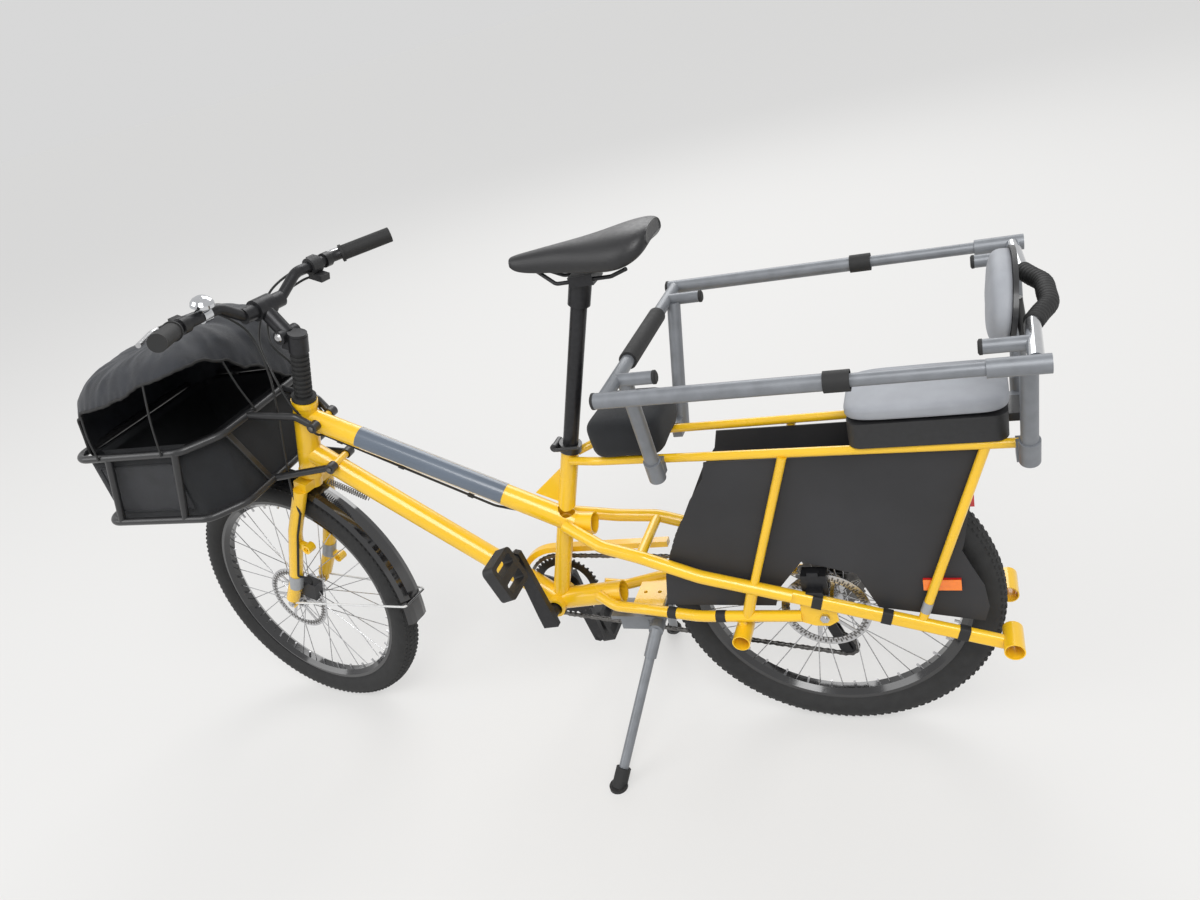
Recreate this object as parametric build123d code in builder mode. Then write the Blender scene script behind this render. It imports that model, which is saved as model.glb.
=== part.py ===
from build123d import *
from math import acos, atan2, cos, hypot, pi, radians, sin, sqrt
import os

os.makedirs("parts", exist_ok=True)

# Driving dimensions, in millimetres and degrees.
# Wheels, both alike.
tyre_radius = 308.0
tyre_width = 58.0
rim_outer_radius = 255.0
rim_depth = 17.0
rim_width = 34.0
hub_barrel_radius = 14.0
hub_flange_radius = 29.0
hub_flange_spacing = 44.0
spoke_count = 32
spoke_radius = 1.1
rotor_radius = 82.0
rotor_thickness = 2.0
axle_radius = 5.0
running_clearance = 0.05
seat_gap = 0.3
weld_gap = 0.3

# Frame geometry.
wheelbase = 1232.0
head_angle = 70.1
fork_offset = 47.6
axle_to_crown = 365.0
steer_turn = -8.3
rear_reach = 398.0
head_tube_length = 185.0
head_tube_diameter = 50.0
head_tube_wall = 6.0
top_tube_diameter = 45.0
down_tube_diameter = 46.0
main_tube_wall = 2.0
seat_tube_diameter = 34.9
seat_tube_wall = 2.6
seat_tube_top = 661.0
seat_angle = 71.4
bracket_ahead = 565.0
bracket_height = 290.0
shell_diameter = 44.0
shell_width = 70.0
rear_axle_width = 135.0
front_axle_width = 100.0

# Rear triangle and rack.
upper_stay_diameter = 25.4
lower_stay_diameter = 22.2
stay_half_width = 76.0
stub_diameter = 34.0
stub_wall = 2.0
stub_inner_y = 46.0
stub_outer_y = 107.0
rail_diameter = 16.0
rail_height = 652.0
rail_half_width = 68.0
rail_rear = -335.0
strut_diameter = 16.0
skirt_thickness = 3.0
skirt_inner_y = 56.0

# Derived places.
wheel_height = tyre_radius
tyre_section_radius = tyre_width / 2
rear_axle_x = (rear_reach - wheelbase - tyre_radius + 3.0) / 2
head_sin = sin(radians(head_angle))
head_cos = cos(radians(head_angle))
wheel_lean = sin(radians(steer_turn)) * head_cos
front_wheel_height = (
    (tyre_radius - tyre_section_radius) * sqrt(1 - wheel_lean**2) + tyre_section_radius
)
crown_ahead = wheelbase - fork_offset * head_sin - axle_to_crown * head_cos
crown_height = (
    front_wheel_height
    + axle_to_crown * head_sin
    - fork_offset * head_cos * cos(radians(steer_turn))
)


def at(ahead, left, up):
    """A point by its distance ahead of the rear axle, left of centre and above ground."""
    return Vector(rear_axle_x + ahead, left, up)


# The steering frame: origin at the crown race, z up the steering axis, x forward, y left,
# turned by the angle at which the bars stand.
steering_axis = Vector(-head_cos, 0, head_sin)
straight_steering = Plane(
    origin=at(crown_ahead, 0, crown_height),
    x_dir=Vector(head_sin, 0, head_cos),
    z_dir=steering_axis,
)
steering = Plane(
    origin=straight_steering.origin,
    x_dir=straight_steering.x_dir.rotate(Axis((0, 0, 0), steering_axis), steer_turn),
    z_dir=steering_axis,
)


def steered(forward, left, up):
    """A point of the steered assembly, measured from the crown race along the steering axis."""
    return steering.from_local_coords(Vector(forward, left, up))


def bar(start, end, diameter, bore=0.0, mode=Mode.ADD):
    """A straight round bar or tube."""
    start, end = Vector(start), Vector(end)
    with BuildSketch(Plane(origin=start, z_dir=end - start)) as section:
        Circle(diameter / 2)
        if bore:
            Circle(bore / 2, mode=Mode.SUBTRACT)
    extrude(section.sketch, amount=(end - start).length, mode=mode)


def bent_bar(points, radii, diameter, bore=0.0, mode=Mode.ADD):
    """A round bar or tube along straight runs joined by arcs."""
    with BuildLine() as route:
        FilletPolyline(*points, radius=radii)
    with BuildSketch(Plane(origin=route.line @ 0, z_dir=route.line % 0)) as section:
        Circle(diameter / 2)
        if bore:
            Circle(bore / 2, mode=Mode.SUBTRACT)
    sweep(section.sketch, path=route.line, mode=mode)


def along(start, end, share):
    """The point at a share of the way from start to end."""
    return start + (end - start) * share


def finish(builder, name):
    builder.part.label = name
    export_step(builder.part, f"parts/{name}.step")


# Wheels. Each wheel plane has its origin at the hub, x forward, y along the axle to the left.
front_hub = steered(fork_offset, 0, -axle_to_crown)
rear_hub = at(0, 0, wheel_height)
wheels = {
    "front": (Plane(origin=front_hub, x_dir=steering.x_dir, z_dir=steering.z_dir), front_axle_width),
    "rear": (Plane(origin=rear_hub, x_dir=(1, 0, 0), z_dir=(0, 0, 1)), rear_axle_width),
}
rim_inner_radius = rim_outer_radius - rim_depth
rotor_inset = 15.5

for end, (wheel, axle_width) in wheels.items():
    axle = Axis(wheel.origin, wheel.y_dir)
    rotor_y = axle_width / 2 - rotor_inset

    # Tyre: a round casing with a flat where it grips the rim.
    with BuildPart() as tyre:
        with BuildSketch(wheel) as section:
            with Locations((tyre_radius - tyre_section_radius, 0)):
                Circle(tyre_section_radius)
            with Locations((rim_outer_radius / 2, 0)):
                Rectangle(rim_outer_radius, tyre_width * 2, mode=Mode.SUBTRACT)
        revolve(section.sketch, axis=axle)
    finish(tyre, f"{end}_tyre")

    # Rim: a box section with hooked side walls.
    with BuildPart() as rim:
        with BuildSketch(wheel) as section:
            with BuildLine():
                Polyline(
                    (rim_outer_radius, -rim_width / 2),
                    (rim_outer_radius, rim_width / 2),
                    (rim_outer_radius - rim_depth * 0.45, rim_width / 2),
                    (rim_inner_radius, rim_width * 0.24),
                    (rim_inner_radius, -rim_width * 0.24),
                    (rim_outer_radius - rim_depth * 0.45, -rim_width / 2),
                    close=True,
                )
            make_face()
        revolve(section.sketch, axis=axle)
    finish(rim, f"{end}_rim")

    # Hub: barrel, two flanges, and crossed spokes out to the rim.
    with BuildPart() as hub:
        flange_y = hub_flange_spacing / 2
        locknut_y = axle_width / 2 - 6.0
        bore_radius = axle_radius + running_clearance
        with BuildSketch(wheel) as section:
            with BuildLine():
                Polyline(
                    (bore_radius, -locknut_y),
                    (bore_radius, locknut_y),
                    (hub_barrel_radius * 0.8, locknut_y),
                    (hub_barrel_radius * 0.8, flange_y + 5.0),
                    (hub_flange_radius * 0.6, flange_y + 3.0),
                    (hub_flange_radius, flange_y + 1.6),
                    (hub_flange_radius, flange_y - 1.6),
                    (hub_barrel_radius, flange_y - 8.0),
                    (hub_barrel_radius, -flange_y + 8.0),
                    (hub_flange_radius, -flange_y + 1.6),
                    (hub_flange_radius, -flange_y - 1.6),
                    (hub_flange_radius * 0.6, -flange_y - 3.0),
                    (hub_barrel_radius * 0.8, -flange_y - 5.0),
                    (hub_barrel_radius * 0.8, -locknut_y),
                    close=True,
                )
            make_face()
        revolve(section.sketch, axis=axle)
        spoke_root = hub_flange_radius - 3.0
        pitch_angle = 360.0 / spoke_count
        for side in (1, -1):
            for pair in range(spoke_count // 4):
                for lead in (1, -1):
                    root = radians(
                        pair * 4 * pitch_angle
                        + (0 if lead > 0 else 2 * pitch_angle)
                        + (0 if side > 0 else pitch_angle)
                    )
                    tip = root + radians(lead * 6 * pitch_angle)
                    root_y = side * (flange_y + lead * 2.2)
                    start = wheel.from_local_coords(
                        Vector(spoke_root * cos(root), root_y, spoke_root * sin(root))
                    )
                    stop = wheel.from_local_coords(
                        Vector(
                            (rim_inner_radius - seat_gap) * cos(tip),
                            side * 3.0,
                            (rim_inner_radius - seat_gap) * sin(tip),
                        )
                    )
                    with BuildSketch(Plane(origin=start, z_dir=stop - start)) as section:
                        RegularPolygon(spoke_radius, 6)
                    extrude(section.sketch, amount=(stop - start).length)

        # Brake rotor: a braking band carried by six slanted arms.
        rotor_plane = Plane(
            origin=wheel.from_local_coords(Vector(0, rotor_y - rotor_thickness / 2, 0)),
            x_dir=wheel.x_dir,
            z_dir=wheel.y_dir,
        )
        with BuildSketch(rotor_plane) as section:
            Circle(rotor_radius)
            Circle(rotor_radius - 15.0, mode=Mode.SUBTRACT)
            with PolarLocations(0, 6):
                with Locations(Location((39.0, 6.0, 0), (0, 0, 20.0))):
                    Rectangle(64.0, 7.0)
            Circle(22.0)
            Circle(hub_barrel_radius * 0.8 - 1.5, mode=Mode.SUBTRACT)
        extrude(section.sketch, amount=rotor_thickness)
    finish(hub, f"{end}_hub")

    # Axle: a bar through the hub, shouldered between the dropouts, with a nut at each end.
    with BuildPart() as spindle:
        nut_y = axle_width / 2 + 6.3
        bar(
            wheel.from_local_coords(Vector(0, -nut_y - 8.0, 0)),
            wheel.from_local_coords(Vector(0, nut_y + 8.0, 0)),
            axle_radius * 2,
        )
        for side in (1, -1):
            nut_plane = Plane(
                origin=wheel.from_local_coords(Vector(0, side * nut_y, 0)),
                x_dir=wheel.x_dir,
                z_dir=wheel.y_dir * side,
            )
            with BuildSketch(nut_plane) as section:
                RegularPolygon(9.0, 6)
            extrude(section.sketch, amount=6.0)
            with BuildSketch(nut_plane.offset(-6.3)) as section:
                Circle(9.5)
            extrude(section.sketch, amount=-5.6)
    finish(spindle, f"{end}_axle")

# Chain line: where the gears, the changer and the chain stand.
sprocket_teeth = [32, 28, 24, 21, 18, 15, 11]
sprocket_pitch = 4.75
sprocket_thickness = 1.8
carrier_radius = 17.0
chain_pitch = 12.7
chain_half_height = 4.2
chain_width = 7.0
chain_y = -42.5
chain_sprocket = 2
chainring_teeth = 40
pulley_radius = 21.0
guide_pulley = (26.0, 222.0)
tension_pulley = (-12.0, 137.0)
first_sprocket_y = chain_y + sprocket_pitch * chain_sprocket


def pitch_radius(teeth):
    return chain_pitch / 2 / sin(radians(180.0 / teeth))


def toothed_outline(teeth, root, tip):
    """Corner points of a sprocket's outline, four to a tooth."""
    points = []
    for tooth in range(teeth):
        for share, radius in ((-0.32, root), (-0.12, tip), (0.12, tip), (0.32, root)):
            turn = radians(360.0 * (tooth + share) / teeth)
            points.append((radius * cos(turn), radius * sin(turn)))
    return points


# Cassette: seven sprockets on a carrier beside the rear hub.
with BuildPart() as cassette:
    for place, teeth in enumerate(sprocket_teeth):
        sprocket_y = first_sprocket_y - place * sprocket_pitch
        tip = pitch_radius(teeth) + 2.5
        if place == chain_sprocket:
            tip = pitch_radius(teeth) - chain_half_height - 0.5
        plate = Plane(
            origin=at(0, sprocket_y + sprocket_thickness / 2, wheel_height),
            x_dir=(1, 0, 0),
            z_dir=(0, -1, 0),
        )
        with BuildSketch(plate) as section:
            with BuildLine():
                Polyline(*toothed_outline(teeth, tip - 4.5, tip), close=True)
            make_face()
            Circle(carrier_radius - 2.0, mode=Mode.SUBTRACT)
        extrude(section.sketch, amount=sprocket_thickness)
    bar(
        at(0, first_sprocket_y + sprocket_thickness / 2, wheel_height),
        at(0, first_sprocket_y - sprocket_pitch * (len(sprocket_teeth) - 1), wheel_height),
        carrier_radius * 2,
        bore=hub_barrel_radius * 1.6 + 4 * running_clearance,
    )
finish(cassette, "cassette")

def beam(start, end, width, height, mode=Mode.ADD):
    """A flat-sided bar, width measured across the bicycle."""
    start, end = Vector(start), Vector(end)
    with BuildSketch(Plane(origin=start, x_dir=(0, 1, 0), z_dir=end - start)) as section:
        RectangleRounded(width, height, min(width, height) * 0.4)
    extrude(section.sketch, amount=(end - start).length, mode=mode)


def side_plate(outline, inner_y, thickness, side, mode=Mode.ADD):
    """A flat plate standing along the bicycle, from an outline ahead and up."""
    with BuildSketch(
        Plane(origin=at(0, side * inner_y, 0), x_dir=(1, 0, 0), z_dir=(0, -1, 0))
    ) as section:
        with BuildLine():
            Polyline(*outline, close=True)
        make_face()
    extrude(section.sketch, amount=-side * thickness, mode=mode)


def block(centre, length, width, height, mode=Mode.ADD):
    """A box by its centre and its sizes along, across and up."""
    with BuildSketch(Plane(origin=Vector(centre) - Vector(0, 0, height / 2))) as section:
        Rectangle(length, width)
    extrude(section.sketch, amount=height, mode=mode)


def cross_bar(ahead, up, from_y, to_y, diameter, bore=0.0, mode=Mode.ADD):
    """A bar straight across the bicycle."""
    bar(at(ahead, from_y, up), at(ahead, to_y, up), diameter, bore, mode)


# Main frame tubes.
seat_lean = radians(seat_angle)
seat_top = at(439.0, 0, seat_tube_top)
shell_centre = at(bracket_ahead, 0, bracket_height)
seat_bottom = seat_top + Vector(cos(seat_lean), 0, -sin(seat_lean)) * (
    (seat_tube_top - bracket_height) / sin(seat_lean)
)
head_bottom = steering.from_local_coords(Vector(0, 0, 0))
head_top = steering.from_local_coords(Vector(0, 0, head_tube_length))
top_tube_front = at(1012.0, 0, 769.0)
top_tube_rear = at(499.0, 0, 483.0)
down_tube_front = at(1045.0, 0, 693.0)
stub_rear = at(436.0, 0, 481.0)
lower_stub_rear = at(416.0, 0, 309.0)
top_tube_end = stub_rear + (top_tube_rear - stub_rear) * 0.6
arm_eye_ahead = 976.0
upper_eye_height = 760.0
lower_eye_height = 662.0
boss_half_width = 23.4

with BuildPart() as head_tube:
    bar(head_bottom, head_top, head_tube_diameter, bore=head_tube_diameter - 2 * head_tube_wall)
    for height in (0.0, head_tube_length - 12.0):
        bar(
            steered(0, 0, height),
            steered(0, 0, height + 12.0),
            head_tube_diameter + 4.0,
            bore=head_tube_diameter - 2 * head_tube_wall,
        )
finish(head_tube, "head_tube")

with BuildPart() as seat_tube:
    bar(
        seat_bottom,
        seat_top,
        seat_tube_diameter,
        bore=seat_tube_diameter - 2 * seat_tube_wall,
    )
    bar(
        shell_centre - Vector(0, shell_width / 2, 0),
        shell_centre + Vector(0, shell_width / 2, 0),
        shell_diameter,
        mode=Mode.SUBTRACT,
    )
    with BuildSketch(Plane(origin=at(0, 3.0, 0), x_dir=(1, 0, 0), z_dir=(0, -1, 0))) as section:
        with BuildLine():
            Polyline((567, 540), (474, 612), (480, 560), (508, 500), close=True)
        make_face()
    extrude(section.sketch, amount=6.0)
    bar(top_tube_front, stub_rear, top_tube_diameter + 0.2, mode=Mode.SUBTRACT)
    bar(
        seat_bottom,
        seat_top + (seat_top - seat_bottom) * 0.1,
        seat_tube_diameter - 2 * seat_tube_wall,
        mode=Mode.SUBTRACT,
    )
finish(seat_tube, "seat_tube")

with BuildPart() as top_tube:
    bar(top_tube_front, top_tube_end, top_tube_diameter)
    bar(top_tube_rear, stub_rear, top_tube_diameter, bore=top_tube_diameter - 6.0)
    bar(
        along(seat_bottom, seat_top, 0.98),
        seat_bottom,
        seat_tube_diameter,
        mode=Mode.SUBTRACT,
    )
    bar(head_bottom, head_top, head_tube_diameter, mode=Mode.SUBTRACT)
    cross_bar(arm_eye_ahead, upper_eye_height, -boss_half_width, boss_half_width, 15.0)
finish(top_tube, "top_tube")

with BuildPart() as down_tube:
    bar(down_tube_front, shell_centre, down_tube_diameter)
    bar(head_bottom, head_top, head_tube_diameter, mode=Mode.SUBTRACT)
    bar(
        steered(0, 0, 0),
        steered(0, 0, 12.0),
        head_tube_diameter + 4.0,
        mode=Mode.SUBTRACT,
    )
    bar(seat_bottom, seat_top, seat_tube_diameter, mode=Mode.SUBTRACT)
    bar(
        shell_centre - Vector(0, shell_width, 0),
        shell_centre + Vector(0, shell_width, 0),
        shell_diameter,
        mode=Mode.SUBTRACT,
    )
    with BuildSketch(Plane(origin=shell_centre, z_dir=(1, 0, 0))) as section:
        Rectangle(200, 200)
    extrude(section.sketch, amount=-80, mode=Mode.SUBTRACT)
    cross_bar(arm_eye_ahead, lower_eye_height, -boss_half_width, boss_half_width, 15.0)
finish(down_tube, "down_tube")

with BuildPart() as bracket_shell:
    bar(shell_centre, lower_stub_rear, down_tube_diameter)
    bar(seat_bottom, seat_top, seat_tube_diameter, mode=Mode.SUBTRACT)
    cross_bar(bracket_ahead, bracket_height, -shell_width / 2, shell_width / 2, shell_diameter)
    cross_bar(bracket_ahead, bracket_height, -shell_width, shell_width, 32.0, mode=Mode.SUBTRACT)
    bar(
        along(lower_stub_rear, shell_centre, 0.4),
        along(lower_stub_rear, shell_centre, -0.1),
        down_tube_diameter - 6.0,
        mode=Mode.SUBTRACT,
    )
finish(bracket_shell, "bottom_bracket")



# Stays: an upper and a lower pair run from the stubs past the wheel to the dropouts.
dropout_outline = [(42, 296), (42, 334), (10, 350), (-20, 334), (-24, 300), (-6, 288), (20, 288)]
upper_stay_run = [
    (489.0, 25.0, 493.0),
    (408.0, 55.0, 461.0),
    (330.0, 70.0, 447.0),
    (218.0, 77.0, 405.0),
    (52.0, 77.0, 360.0),
]
upper_stay_radii = [70.0, 90.0, 200.0]
beam_front = (52.0, 77.0, 360.0)
beam_rear = (-306.0, 75.0, 258.0)
beam_width = 16.0
beam_height = 26.0
lower_stay_run = [
    (464.0, 20.0, 314.0),
    (424.0, 35.0, 298.0),
    (353.0, 53.0, 306.0),
    (238.0, 70.0, 304.0),
    (42.0, 70.0, 308.0),
]
lower_stay_radii = [50.0, 90.0, 200.0]
rear_stub_place = (-313.0, 265.0)
middle_stub_place = (157.0, 270.0)


def run_on_side(run, side):
    return [at(ahead, side * left, up) for ahead, left, up in run]


def upper_stub_solid(mode):
    bar(top_tube_rear, stub_rear, top_tube_diameter + weld_gap, mode=mode)
    bar(along(top_tube_end, top_tube_front, 0.3), top_tube_end, top_tube_diameter + weld_gap, mode=mode)


def stub_solid(place, side, mode):
    cross_bar(
        place[0], place[1], side * (stub_inner_y - 4.0), side * stub_outer_y, stub_diameter, mode=mode
    )


with BuildPart() as upper_stays:
    for side in (1, -1):
        bent_bar(run_on_side(upper_stay_run, side), upper_stay_radii, upper_stay_diameter)
        beam(
            at(beam_front[0], side * beam_front[1], beam_front[2]),
            at(beam_rear[0], side * beam_rear[1], beam_rear[2]),
            beam_width,
            beam_height,
        )
    cross_bar(330.0, 446.0, -66.0, 66.0, 20.0)
    upper_stub_solid(Mode.SUBTRACT)
    bar(seat_bottom, seat_top, seat_tube_diameter, mode=Mode.SUBTRACT)
    for side in (1, -1):
        stub_solid(rear_stub_place, side, Mode.SUBTRACT)
finish(upper_stays, "upper_stays")

with BuildPart() as lower_stays:
    for side in (1, -1):
        bent_bar(run_on_side(lower_stay_run, side), lower_stay_radii, lower_stay_diameter)
    bar(shell_centre, lower_stub_rear, down_tube_diameter + weld_gap, mode=Mode.SUBTRACT)
    # Dropout plates that carry the rear axle.
    for side in (1, -1):
        side_plate(dropout_outline, rear_axle_width / 2, 6.0, side)
    cross_bar(0, wheel_height, -80.0, 80.0, axle_radius * 2 + 0.2, mode=Mode.SUBTRACT)
    for side in (1, -1):
        beam(
            at(beam_front[0], side * beam_front[1], beam_front[2]),
            at(beam_rear[0], side * beam_rear[1], beam_rear[2]),
            beam_width,
            beam_height,
            mode=Mode.SUBTRACT,
        )
    # Stand plate, with its bolt holes.
    block(at(353.0, 0, 303.0), 64.0, 100.0, 8.0)
    for ahead in (338.0, 368.0):
        with BuildSketch(Plane(origin=at(ahead, 0, 290.0))) as section:
            Circle(4.2)
        extrude(section.sketch, amount=30.0, mode=Mode.SUBTRACT)
finish(lower_stays, "lower_stays")

# Accessory tubes: open cross tubes, one pair at the tail and one under the middle.
with BuildPart() as accessory_tubes:
    for side in (1, -1):
        for place in (rear_stub_place, middle_stub_place):
            cross_bar(
                place[0],
                place[1],
                side * stub_inner_y,
                side * stub_outer_y,
                stub_diameter,
                bore=stub_diameter - 2 * stub_wall,
            )
        with BuildSketch(
            Plane(origin=at(middle_stub_place[0], side * 70.0, 310.0), z_dir=(0, 0, -1))
        ) as section:
            Circle(8.0)
        extrude(section.sketch, amount=310.0 - middle_stub_place[1] - stub_diameter / 2 + 1.0)
        bent_bar(
            run_on_side(lower_stay_run, side),
            lower_stay_radii,
            lower_stay_diameter + 0.6,
            mode=Mode.SUBTRACT,
        )
finish(accessory_tubes, "accessory_tubes")

# Stand bracket: a block under the stand plate with the bore for the cross pin.
stand_pivot = (345.0, 250.0)
stand_pivot_y = 45.0
stand_foot = (430.0, 238.0)
stand_leg_diameter = 20.0
stand_socket_diameter = 26.0
stand_socket_length = 60.0
with BuildPart() as stand_bracket:
    block(at(388.0, 0, 263.0), 116.0, 60.0, 8.0)
    block(at(353.0, 0, 283.0), 40.0, 40.0, 31.8)
    block(at(396.0, 0, 247.0), 60.0, 60.0, 26.0)
    cross_bar(stand_pivot[0], stand_pivot[1], -30.0, 30.0, 26.0)
    cross_bar(stand_pivot[0], stand_pivot[1], -31.0, 31.0, 12.2, mode=Mode.SUBTRACT)
finish(stand_bracket, "stand_bracket")

# Stand: two splayed legs on one cross pin, with rubber feet flat on the ground.
foot_height = 34.0
foot_diameter = 30.0
with BuildPart() as stand_legs:
    cross_bar(stand_pivot[0], stand_pivot[1], -stand_pivot_y, stand_pivot_y, 12.0)
    for side in (1, -1):
        pivot = at(stand_pivot[0], side * stand_pivot_y, stand_pivot[1])
        foot = at(stand_foot[0], side * stand_foot[1], 0)
        cross_bar(
            stand_pivot[0], stand_pivot[1], side * 31.0, side * (stand_pivot_y + 9.0), 30.0
        )
        bar(pivot, along(pivot, foot, stand_socket_length / (foot - pivot).length), stand_socket_diameter)
        bar(pivot, along(pivot, foot, 1.0 - 18.0 / (foot - pivot).length), stand_leg_diameter)
finish(stand_legs, "stand_legs")

with BuildPart() as stand_feet:
    for side in (1, -1):
        pivot = at(stand_pivot[0], side * stand_pivot_y, stand_pivot[1])
        foot = at(stand_foot[0], side * stand_foot[1], 0)
        length = (foot - pivot).length
        bar(along(pivot, foot, 1.0 - (foot_height + 6.0) / length), foot, foot_diameter)
        with BuildSketch(Plane(origin=foot)) as section:
            Circle(foot_diameter * 0.62)
        extrude(section.sketch, amount=7.0)
        bar(pivot, along(pivot, foot, 1.0 - 17.5 / length), stand_leg_diameter + 0.2, mode=Mode.SUBTRACT)
    block(at(stand_foot[0], 0, -30.0), 300.0, 700.0, 60.0, mode=Mode.SUBTRACT)
finish(stand_feet, "stand_feet")

# Rack: two rails from the seat tube to the tail, on struts down to the stays.
rail_run = [(437.0, 18.0, 636.0), (372.0, 52.0, rail_height), (rail_rear, rail_half_width, rail_height)]
with BuildPart() as rack_rails:
    for side in (1, -1):
        bent_bar(run_on_side(rail_run, side), 60.0, rail_diameter)
    bar(seat_bottom, seat_top, seat_tube_diameter, mode=Mode.SUBTRACT)
finish(rack_rails, "rack_rails")


def rails(mode):
    for side in (1, -1):
        bent_bar(run_on_side(rail_run, side), 60.0, rail_diameter + weld_gap, mode=mode)


def upper_stays_solid(mode):
    for side in (1, -1):
        bent_bar(
            run_on_side(upper_stay_run, side),
            upper_stay_radii,
            upper_stay_diameter + weld_gap,
            mode=mode,
        )
        beam(
            at(beam_front[0], side * beam_front[1], beam_front[2]),
            at(beam_rear[0], side * beam_rear[1], beam_rear[2]),
            beam_width + weld_gap,
            beam_height + weld_gap,
            mode=mode,
        )


def lower_stays_solid(mode):
    for side in (1, -1):
        bent_bar(
            run_on_side(lower_stay_run, side),
            lower_stay_radii,
            lower_stay_diameter + weld_gap,
            mode=mode,
        )


front_strut_top = (30.0, 66.0, 648.0)
front_strut_foot = (121.0, 76.0, 378.0)
brace_top = (122.0, 76.0, 378.0)
brace_foot = (143.0, 70.0, 310.0)
rear_strut_top = (-285.0, 66.0, 648.0)
rear_strut_foot = (-166.0, 74.0, 300.0)
light_bar_place = (-250.0, 541.0)
with BuildPart() as rack_struts:
    for side in (1, -1):
        for top, foot, diameter in (
            (front_strut_top, front_strut_foot, strut_diameter),
            (brace_top, brace_foot, strut_diameter + 6.0),
            (rear_strut_top, rear_strut_foot, strut_diameter),
        ):
            bar(
                at(top[0], side * top[1], top[2]),
                at(foot[0], side * foot[1], foot[2]),
                diameter,
            )
    cross_bar(light_bar_place[0], light_bar_place[1], -66.0, 66.0, 10.0)
    rails(Mode.SUBTRACT)
    upper_stays_solid(Mode.SUBTRACT)
    lower_stays_solid(Mode.SUBTRACT)
finish(rack_struts, "rack_struts")

# Skirts: flat panels that keep loads and clothing off the wheel.
skirt_outline = [
    (170, 640),
    (179, 605),
    (211, 562),
    (271, 449),
    (291, 395),
    (304, 322),
    (90, 322),
    (75, 366),
    (30, 423),
    (-63, 395),
    (-95, 320),
    (-270, 292),
    (-278, 322),
    (-272, 368),
    (-254, 408),
    (-240, 442),
    (-244, 456),
    (-276, 640),
]
with BuildPart() as skirts:
    for side in (1, -1):
        side_plate(skirt_outline, skirt_inner_y - 1.0, skirt_thickness, side)
    cross_bar(light_bar_place[0], light_bar_place[1], -66.0, 66.0, 10.8, mode=Mode.SUBTRACT)
finish(skirts, "skirts")

# Reflectors: one red at the tail, one orange on each skirt.
with BuildPart() as reflectors:
    block(at(light_bar_place[0] - 9.4, 0, light_bar_place[1]), 9.0, 84.0, 42.0)
    cross_bar(light_bar_place[0], light_bar_place[1], -66.0, 66.0, 10.2, mode=Mode.SUBTRACT)
    for side in (1, -1):
        block(at(-205.0, side * (skirt_inner_y + 5.0), 375.0), 62.0, 5.4, 22.0)
finish(reflectors, "reflectors")

# Rear brake caliper over the rotor.
rear_rotor_y = rear_axle_width / 2 - rotor_inset
with BuildPart() as rear_caliper:
    block(at(12.0, 53.0, 376.0), 46.0, 28.0, 42.0)
    block(at(12.0, 73.0, 364.0), 30.0, 14.0, 12.0)
    block(at(12.0, rear_rotor_y, 366.0), 60.0, 8.0, 60.0, mode=Mode.SUBTRACT)
    block(at(12.0, 65.0, 402.0), 20.0, 12.0, 10.0)
    upper_stays_solid(Mode.SUBTRACT)
finish(rear_caliper, "rear_caliper")


# The chain: one loop round the chainring, the cassette and the changer's pulleys.
def belt_points(circles, spread):
    """Tangent points and arc middles of a belt round circles given as (x, z, radius, sense)."""
    lines = []
    for here in range(len(circles)):
        x0, z0, r0, s0 = circles[here]
        x1, z1, r1, s1 = circles[(here + 1) % len(circles)]
        r0, r1 = r0 + s0 * spread, r1 + s1 * spread
        span = hypot(x1 - x0, z1 - z0)
        bearing = atan2(z1 - z0, x1 - x0)
        lean = bearing + acos((r0 * s0 - r1 * s1) / span)
        nx, nz = cos(lean), sin(lean)
        lines.append(
            ((x0 + r0 * s0 * nx, z0 + r0 * s0 * nz), (x1 + r1 * s1 * nx, z1 + r1 * s1 * nz))
        )
    arcs = []
    for here in range(len(circles)):
        x, z, r, sense = circles[here]
        r += sense * spread
        arrive = lines[here - 1][1]
        leave = lines[here][0]
        first = atan2(arrive[1] - z, arrive[0] - x)
        last = atan2(leave[1] - z, leave[0] - x)
        turn = (sense * (first - last)) % (2 * pi)
        middle = first - sense * turn / 2
        arcs.append((arrive, (x + r * cos(middle), z + r * sin(middle)), leave))
    return lines, arcs


chain_circles = [
    (bracket_ahead, bracket_height, pitch_radius(chainring_teeth), 1),
    (tension_pulley[0], tension_pulley[1], pulley_radius, 1),
    (guide_pulley[0], guide_pulley[1], pulley_radius, -1),
    (0.0, wheel_height, pitch_radius(sprocket_teeth[chain_sprocket]), 1),
]
chain_plane = Plane(
    origin=at(0, chain_y + chain_width / 2, 0), x_dir=(1, 0, 0), z_dir=(0, -1, 0)
)
with BuildPart() as chain:
    with BuildSketch(chain_plane) as section:
        for spread, role in ((chain_half_height, Mode.ADD), (-chain_half_height, Mode.SUBTRACT)):
            lines, arcs = belt_points(chain_circles, spread)
            with BuildLine():
                for first, last in lines:
                    Line(first, last)
                for first, middle, last in arcs:
                    ThreePointArc(first, middle, last)
            make_face(mode=role)
    extrude(section.sketch, amount=chain_width)
finish(chain, "chain")

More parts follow.
